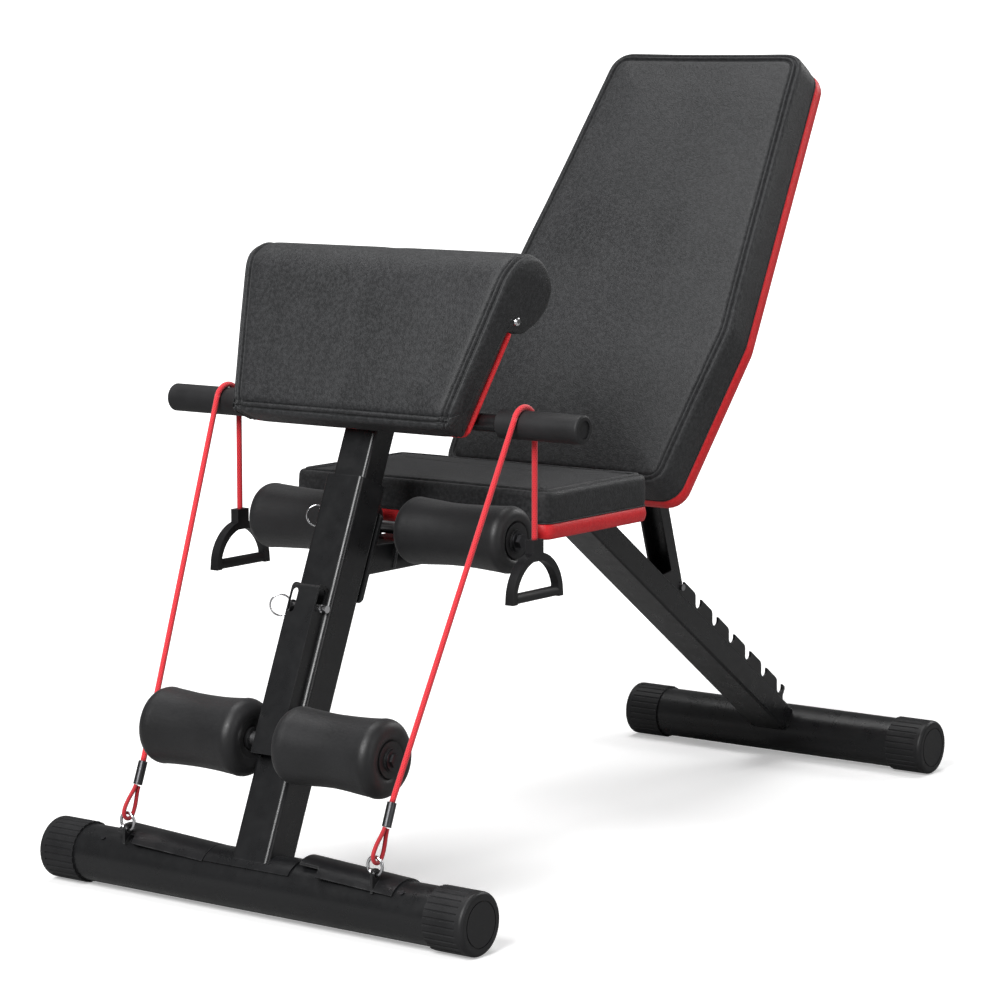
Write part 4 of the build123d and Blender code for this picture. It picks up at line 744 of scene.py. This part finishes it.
def seat_pad():
    """The seat is wider than deep: built turned, so its rings close on a line across it."""
    obj = slab_cover("seat_pad",
                     [Vector((point.y - SEAT_MID_Y, point.x)) for point in SEAT_OUTLINE],
                     [(y - SEAT_MID_Y, x) for x, y in SEAT_CORNERS],
                     spine=(-0.090, 0.090), origin=Vector((0, 0, 0)), up=Y_AXIS, normal=Z_AXIS,
                     thick=SEAT_COVER, crown=0.0036, seed=9.0)
    for vertex in obj.data.vertices:
        x, y = vertex.co.x, vertex.co.y
        vertex.co.x, vertex.co.y = y, SEAT_MID_Y + x
        vertex.co.z += SEAT_TOP_Z
    obj.data.flip_normals()
    return obj


def arm_pad_section():
    """Closed section of the arm pad: (along the mast, off the mast, how far it is held)."""
    corner = 0.004
    section = []
    for j in range(5):                      # rounded lower back edge
        angle = math.pi / 2 * j / 4
        section.append((PAD_FOOT + corner - corner * math.sin(angle),
                        PAD_BACK - corner + corner * math.cos(angle), 1.0))
    underside = PAD_BACK - PAD_FRONT - corner + RIM_HEIGHT
    for j in range(1, 6):                   # underside, towards the front
        section.append((PAD_FOOT, PAD_BACK - corner - underside * j / 6, 1.0))
    for inset, height in SEWN_EDGE:         # welt low on the front
        section.append((PAD_FOOT + inset, PAD_FRONT - height, 1.0))

    face_foot = PAD_FOOT + FACE_INSET
    for j in range(1, 24):                  # front face
        section.append((face_foot + (ROLL_ALONG - face_foot) * j / 24,
                        PAD_FRONT - FACE_HEIGHT, 0.0))

    # angles round the roll: 180 degrees is the front, 90 the top, 0 the back
    roll_end = math.radians(-6)
    tuck_end = math.radians(-84)
    proud = ROLL_RADIUS + 0.0006
    for j in range(41):                     # over the roll
        angle = math.pi - (math.pi - roll_end) * j / 40
        section.append((ROLL_ALONG + proud * math.sin(angle),
                        ROLL_OFF + proud * math.cos(angle), 0.0))
    for j in range(1, 11):                  # round its back towards the board
        angle = roll_end + (tuck_end - roll_end) * j / 11
        section.append((ROLL_ALONG + ROLL_RADIUS * math.sin(angle),
                        ROLL_OFF + ROLL_RADIUS * math.cos(angle), 0.6 if j > 5 else 0.0))

    back_top = ROLL_ALONG - ROLL_RADIUS - 0.001
    back_foot = 0.481
    section.append((back_top, PAD_BACK, 1.0))
    for j in range(1, 20):                  # down the flat back
        section.append((back_top + (back_foot - ROLL_ALONG + ROLL_RADIUS) * j / 20,
                        PAD_BACK, 1.0))
    return section


def arm_pad():
    """A slab running up into a roll: the section swept across, with a welt near each side."""
    section = arm_pad_section()
    points = [Vector((along, off)) for along, off, _ in section]
    held = [hold for _, _, hold in section]
    # the section runs anticlockwise, so right of travel is outward
    normals = [right_normal(points, i) for i in range(len(points))]
    spine_foot, spine_top = Vector((0.498, -0.045)), Vector((ROLL_ALONG - 0.002, -0.026))
    # share of the side welt's relief: none on the underside and the flat back
    welt = [min(1.0, max(0.0, (p.x - 0.480) / 0.006)) if p.y < -0.035 or p.x > 0.60 else 0.0
            for p in points]

    def nearest_on_spine(point):
        run = spine_top - spine_foot
        share = (point - spine_foot).dot(run) / run.length_squared
        return spine_foot + run * max(0.0, min(1.0, share))

    bm = bmesh.new()
    free = []

    def station(side, inset, height, freedom, shrink, spread):
        """One ring; spread is the share of the inset half width it stands at."""
        ring = []
        for i, point in enumerate(points):
            # the welt's deepest and its slightest heights hold all round
            whole = height < -0.0035 or abs(height) < 0.0009
            place = point + normals[i] * (height if whole else height * welt[i])
            if shrink:
                place = place.lerp(nearest_on_spine(place), shrink)
            x = side * (pad_half_width(place.x) - inset) * spread
            ring.append(bm.verts.new(mast_point(place.x, place.y, x)))
            free.append(freedom * (1.0 - held[i]))
        return ring

    # half the sweep, side to centre: (inset, height, freedom, shrink, spread)
    stations = [(-0.0009 * math.sin(shrink * 3.0), RIM_HEIGHT, 0.0, shrink, 1.0)
                for shrink in (0.9, 0.62, 0.34, 0.12)]
    stations += [(inset, height, 0.0, 0.0, 1.0) for inset, height in SEWN_EDGE]
    for j in range(1, 10):
        t = j / 10
        stations.append((FACE_INSET, FACE_HEIGHT, min(1.0, t * 0.12 / FREE_REACH), 0.0, 1.0 - t))

    rows = [station(-1, *values) for values in stations]
    rows.append([bm.verts.new(mast_point(point.x, point.y)) for point in points])
    free.extend(1.0 - hold for hold in held)
    rows += [station(1, *values) for values in reversed(stations)]
    bridge_rows(bm, rows)
    obj = close_cover("arm_pad", bm, rows[0], list(reversed(rows[-1])))
    swell(obj, free)
    for vertex in obj.data.vertices:
        place = vertex.co
        uneven = noise.noise(Vector((place.x * 13 + 4, place.y * 13, place.z * 13)))
        vertex.co += PAD_NORMAL * (0.0005 * uneven)
    return obj


finish_cushion(backrest_pad(), "backrest", "backrest_cushion")
finish_cushion(seat_pad(), "frame", "seat_cushion")
finish_cushion(arm_pad(), "pad_mast", "pad_cushion")


# ------------------------------------------------------------------ red bands
def band(node, name, body, origin, up, normal, outline, depth, puff=0.0012):
    """Board wrapped in red: rounded, puffed sides and a hem round the cloth on its back.

    The outline lies at its front face, and normal points out of that face.
    """
    points = resample(outline, 0.006)
    normals = outward_normals(points)
    profile = [  # (depth behind the front face, outward offset)
        (0.0000, -0.0028), (0.0006, -0.0012), (0.0022, -0.0002),
        (0.35 * depth, puff * 0.6), (0.5 * depth, puff * 0.8), (0.65 * depth, puff * 0.6),
        (depth - 0.0026, -0.0002), (depth - 0.0008, -0.0013), (depth, -0.0032),
    ]
    hem = ((0.014, 0.0003, 0), (0.016, -0.0006, 0), (0.018, -0.0006, 1))  # (inset, drop, slot)

    def place(point, behind):
        return origin + X_AXIS * point.x + up * point.y - normal * behind

    bm = bmesh.new()
    rows = [[bm.verts.new(place(point + outward * offset, behind))
             for point, outward in zip(points, normals)]
            for behind, offset in profile]
    bridge_rows(bm, rows)

    centre = place(middle(points), depth)
    previous = rows[-1]
    back_rim = [vertex.co.copy() for vertex in previous]
    for inset, drop, slot in hem:
        ring = []
        for start in back_rim:
            inward = centre - start
            inward -= normal * inward.dot(normal)
            ring.append(bm.verts.new(start + inward.normalized() * inset - normal * drop))
        bridge(bm, previous, ring, slot)
        previous = ring
    bm.faces.new(previous).material_index = 1
    bm.faces.new(list(reversed(rows[0])))
    register(mesh_object(name, bm, RED_VINYL, UNDER_CLOTH), body, node)


BAND_FOOT, BAND_TOP = 0.478, 0.592          # the arm pad's board, along the mast
PAD_BOARD_OUTLINE = rounded_outline(
    [(-pad_half_width(BAND_FOOT), BAND_FOOT), (pad_half_width(BAND_FOOT), BAND_FOOT),
     (pad_half_width(BAND_TOP), BAND_TOP), (-pad_half_width(BAND_TOP), BAND_TOP)],
    [0.010, 0.010, 0.003, 0.003])

band("backrest_board", "backrest_band", "backrest",
     origin=BACKREST_ORIGIN - BACKREST_NORMAL * BACKREST_BOARD_DROP, up=BACKREST_UP,
     normal=BACKREST_NORMAL, outline=BACKREST_OUTLINE, depth=0.018)
band("seat_board", "seat_band", "frame", origin=Vector((0, 0, SEAT_BOARD_Z)), up=Y_AXIS,
     normal=Z_AXIS, outline=SEAT_OUTLINE, depth=0.017)
band("pad_board", "arm_pad_band", "pad_mast", origin=mast_point(0, PAD_FRONT + 0.0356),
     up=MAST_UP, normal=PAD_NORMAL, outline=PAD_BOARD_OUTLINE, depth=0.007, puff=0.0006)

# ------------------------------------------------------------------ welts where black meets red
WELT_RADIUS = 0.0009
WELT_INSET = 0.0011


def seam_welt(name, body, outline, origin, up, normal, drop):
    points = resample(outline, 0.004)
    path = []
    for point, outward in zip(points, outward_normals(points)):
        place = point - outward * WELT_INSET
        path.append(origin + X_AXIS * place.x + up * place.y - normal * drop)
    welt = tube(name, path, WELT_RADIUS, BLACK_VINYL, sides=8, pitch=WELT_RADIUS * 1.25,
                closed=True)
    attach(welt, body)


seam_welt("backrest_welt", "backrest", BACKREST_OUTLINE, BACKREST_ORIGIN, BACKREST_UP,
          BACKREST_NORMAL, BACKREST_COVER)
seam_welt("seat_welt", "frame", SEAT_OUTLINE, Vector((0, 0, SEAT_TOP_Z)), Y_AXIS, Z_AXIS,
          SEAT_COVER)


# ------------------------------------------------------------------ foam rollers
def lathe(name, profile, axis_y, axis_z, seed):
    """Foam turned about a line along X from a closed profile of (x, radius)."""
    segments = 72
    bm = bmesh.new()
    rings = []
    for x, radius in profile:
        ring = []
        for k in range(segments):
            angle = 2 * math.pi * k / segments
            cos, sin = math.cos(angle), math.sin(angle)
            r = radius + 0.0007 * noise.noise(Vector((x * 22 + seed, cos * 1.3, sin * 1.3)))
            ring.append(bm.verts.new((x, axis_y + r * cos, axis_z + r * sin)))
        rings.append(ring)
    for i, ring in enumerate(rings):
        bridge(bm, ring, rings[(i + 1) % len(rings)])
    return mesh_object(name, bm, FOAM)


def roller(node, body, seed):
    """Foam sleeve filling the CAD piece's box: rounded rims, slight waist, dished ends."""
    low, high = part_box(node)
    x0, x1 = low.x, high.x
    radius = (high.z - low.z) / 2
    rim = 0.0125 if radius > 0.038 else 0.0105
    bore = 0.0125
    waist = 0.0030
    centre, half = (x0 + x1) / 2, (x1 - x0) / 2

    profile = []
    for k in range(9):
        angle = math.pi * 0.5 * k / 8
        profile.append((x0 + rim - rim * math.cos(angle), radius - rim + rim * math.sin(angle)))
    for k in range(1, 26):
        x = x0 + rim + (x1 - x0 - 2 * rim) * k / 26
        profile.append((x, radius - waist * (1 - ((x - centre) / half) ** 2) ** 2))
    for k in range(9):
        angle = math.pi * 0.5 * (1 - k / 8)
        profile.append((x1 - rim + rim * math.cos(angle), radius - rim + rim * math.sin(angle)))
    dish = [(0.0006, radius * 0.60), (0.0016, 0.0205), (0.0030, 0.0195),
            (0.0030, bore + 0.001), (0.004, bore)]      # (depth in from the end, radius)
    profile += [(x1 - depth, r) for depth, r in dish]
    profile += [(x0 + depth, r) for depth, r in reversed(dish)]

    sleeve = lathe(node.replace("roller_foam_", "foam_sleeve_"), profile,
                   (low.y + high.y) / 2, (low.z + high.z) / 2, seed)
    register(sleeve, body, node)


for index, place in enumerate(("upper_left", "upper_right", "lower_left", "lower_right")):
    level, side = place.split("_")
    roller(f"roller_foam_{place}", f"{level}_roller_{side}", seed=3.1 * index)

# ------------------------------------------------------------------ cords
GRIP_BAR = mast_point(0.500, -0.008)        # centre of the bar the cords pass over
WRAP_RADIUS = 0.01815                       # bar's centre to the cord's centre
CORD_X = 0.197
WRAP_START, WRAP_SWEEP = -1.0, 157.5        # degrees, from the back of the bar over its top
RUN_LEAVES = 156.3                          # degrees, where the run leaves the bar
DROP_END_Z = 0.3785


def cord(name, path, body, node=None):
    obj = tube(name, path, 0.003, CORD, sides=18, pitch=0.0042)
    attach(obj, body)
    if node:
        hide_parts(node)


def straight(start, end, count):
    return [start.lerp(end, k / count) for k in range(count + 1)]


def on_wrap(x, degrees):
    angle = math.radians(degrees)
    return Vector((x, GRIP_BAR.y + WRAP_RADIUS * math.cos(angle),
                   GRIP_BAR.z + WRAP_RADIUS * math.sin(angle)))


def cords(sign, tag):
    """One side's cord: over the bar, hanging behind it, and down to the frame at the front."""
    x = sign * CORD_X
    # one CAD piece holds both sides' wraps, and one both runs: the left side replaces them
    left = sign < 0
    wrap = [on_wrap(x, WRAP_START + WRAP_SWEEP * k / 32) for k in range(33)]
    cord("cord_wrap_" + tag, wrap, "pad_mast", "cord_wraps" if left else None)

    back_y = GRIP_BAR.y + WRAP_RADIUS
    drop = straight(Vector((x, back_y, GRIP_BAR.z + 0.0002)), Vector((x, back_y, DROP_END_Z)), 40)
    cord("cord_hang_" + tag, drop, "pad_mast", "cord_drop_" + tag)

    top = on_wrap(x, RUN_LEAVES)
    foot = Vector((sign * 0.165, FRONT_Y + 0.007, 0.137))
    overlap = (top - foot).normalized() * 0.0012
    cord("cord_run_" + tag, straight(top + overlap, foot, 90), "frame",
         "cord_runs" if left else None)


cords(-1, "left")
cords(1, "right")

# ------------------------------------------------------------------ stage, light, camera
CAMERA_YAW = math.radians(36.44)
CAMERA_PITCH_DOWN = 7.63                    # degrees


def floor_material():
    s = Surface("studio_floor")
    # pale to the camera, darker to other rays so that it doesn't light every underside
    light_path = s.add("ShaderNodeLightPath")
    dim = s.add("ShaderNodeBsdfDiffuse")
    dim.inputs["Color"].default_value = (0.30, 0.30, 0.30, 1)
    choice = s.add("ShaderNodeMixShader")
    s.feed(choice.inputs[0], light_path.outputs["Is Camera Ray"])
    s.feed(choice.inputs[1], dim.outputs[0])
    s.feed(choice.inputs[2], s.principled.outputs[0])
    s.feed(s.output.inputs[0], choice.outputs[0])
    # glow that grows with distance from the bench
    distance = s.add("ShaderNodeVectorMath")
    distance.operation = "LENGTH"
    s.feed(distance.inputs[0], s.coords.outputs["Object"])
    glow = s.add("ShaderNodeMapRange")
    s.feed(glow.inputs["Value"], distance.outputs["Value"])
    for key, value in (("From Min", 0.9), ("From Max", 2.4), ("To Min", 0.32), ("To Max", 0.95)):
        glow.inputs[key].default_value = value
    s.set({
        "Base Color": (0.90, 0.90, 0.90, 1),
        "Roughness": 0.9,
        "Emission Color": (1, 1, 1, 1),
        "Emission Strength": glow.outputs["Result"],
    })
    return s.material


def build_floor():
    """Floor curving up into a wall, square to the camera's heading."""
    near, cove_start, cove_radius, wall_top, half_width = -6.0, 3.0, 2.0, 7.0, 9.0
    profile = [(near, 0.0), (cove_start, 0.0)]          # (distance from the camera's side, z)
    for k in range(1, 13):
        angle = math.pi / 2 * k / 12
        profile.append((cove_start + cove_radius * math.sin(angle),
                        cove_radius - cove_radius * math.cos(angle)))
    profile.append((cove_start + cove_radius, wall_top))

    heading = Vector((-math.sin(CAMERA_YAW), math.cos(CAMERA_YAW), 0))
    across = Vector((heading.y, -heading.x, 0))
    bm = bmesh.new()
    rows = [[bm.verts.new(heading * distance + across * w + Vector((0, 0, z - 0.0006)))
             for w in (-half_width, half_width)]
            for distance, z in profile]
    for a, b in zip(rows, rows[1:]):
        bm.faces.new((a[0], a[1], b[1], b[0])).smooth = True
    mesh_object("floor", bm, floor_material())


def build_world():
    """White to the camera, faint as a light."""
    world = bpy.data.worlds.new("studio")
    bpy.context.scene.world = world
    world.use_nodes = True
    tree = world.node_tree
    background = tree.nodes["Background"]
    background.inputs[0].default_value = (1, 1, 1, 1)
    light_path = tree.nodes.new("ShaderNodeLightPath")
    strength = tree.nodes.new("ShaderNodeMath")
    strength.operation = "MULTIPLY_ADD"
    tree.links.new(light_path.outputs["Is Camera Ray"], strength.inputs[0])
    strength.inputs[1].default_value = 0.90     # added for camera rays
    strength.inputs[2].default_value = 0.13     # for every ray
    tree.links.new(strength.outputs[0], background.inputs[1])


def area_light(name, location, target, size, power):
    light = bpy.data.lights.new(name, "AREA")
    light.shape = "RECTANGLE"
    light.size, light.size_y = size
    light.energy = power
    obj = bpy.data.objects.new(name, light)
    obj.location = location
    aim = Vector(target) - Vector(location)
    obj.rotation_euler = aim.to_track_quat("-Z", "Y").to_euler()
    bpy.context.scene.collection.objects.link(obj)


def build_camera():
    camera = bpy.data.cameras.new("cam")
    camera.lens = 124.6
    camera.sensor_width = 36
    camera.sensor_fit = "HORIZONTAL"
    camera.clip_end = 60
    obj = bpy.data.objects.new("cam", camera)
    obj.location = (2.237, -3.1205, 0.886)
    obj.rotation_euler = (math.radians(90 - CAMERA_PITCH_DOWN), 0, CAMERA_YAW)
    bpy.context.scene.collection.objects.link(obj)
    bpy.context.scene.camera = obj


build_floor()
build_world()
area_light("key", location=(0.5, -3.9, 2.9), target=(0, 0, 0.45), size=(2.0, 2.2), power=215)
area_light("fill", location=(3.6, -0.6, 1.5), target=(0, 0, 0.4), size=(1.2, 2.2), power=22)
area_light("top", location=(-0.6, 0.2, 3.6), target=(0, 0, 0.3), size=(2.6, 2.2), power=70)
area_light("rim", location=(1.2, 3.4, 2.2), target=(0, 0, 0.5), size=(2.0, 1.2), power=45)
build_camera()
bpy.context.scene.view_settings.view_transform = "Standard"
bpy.context.scene.view_settings.look = "None"
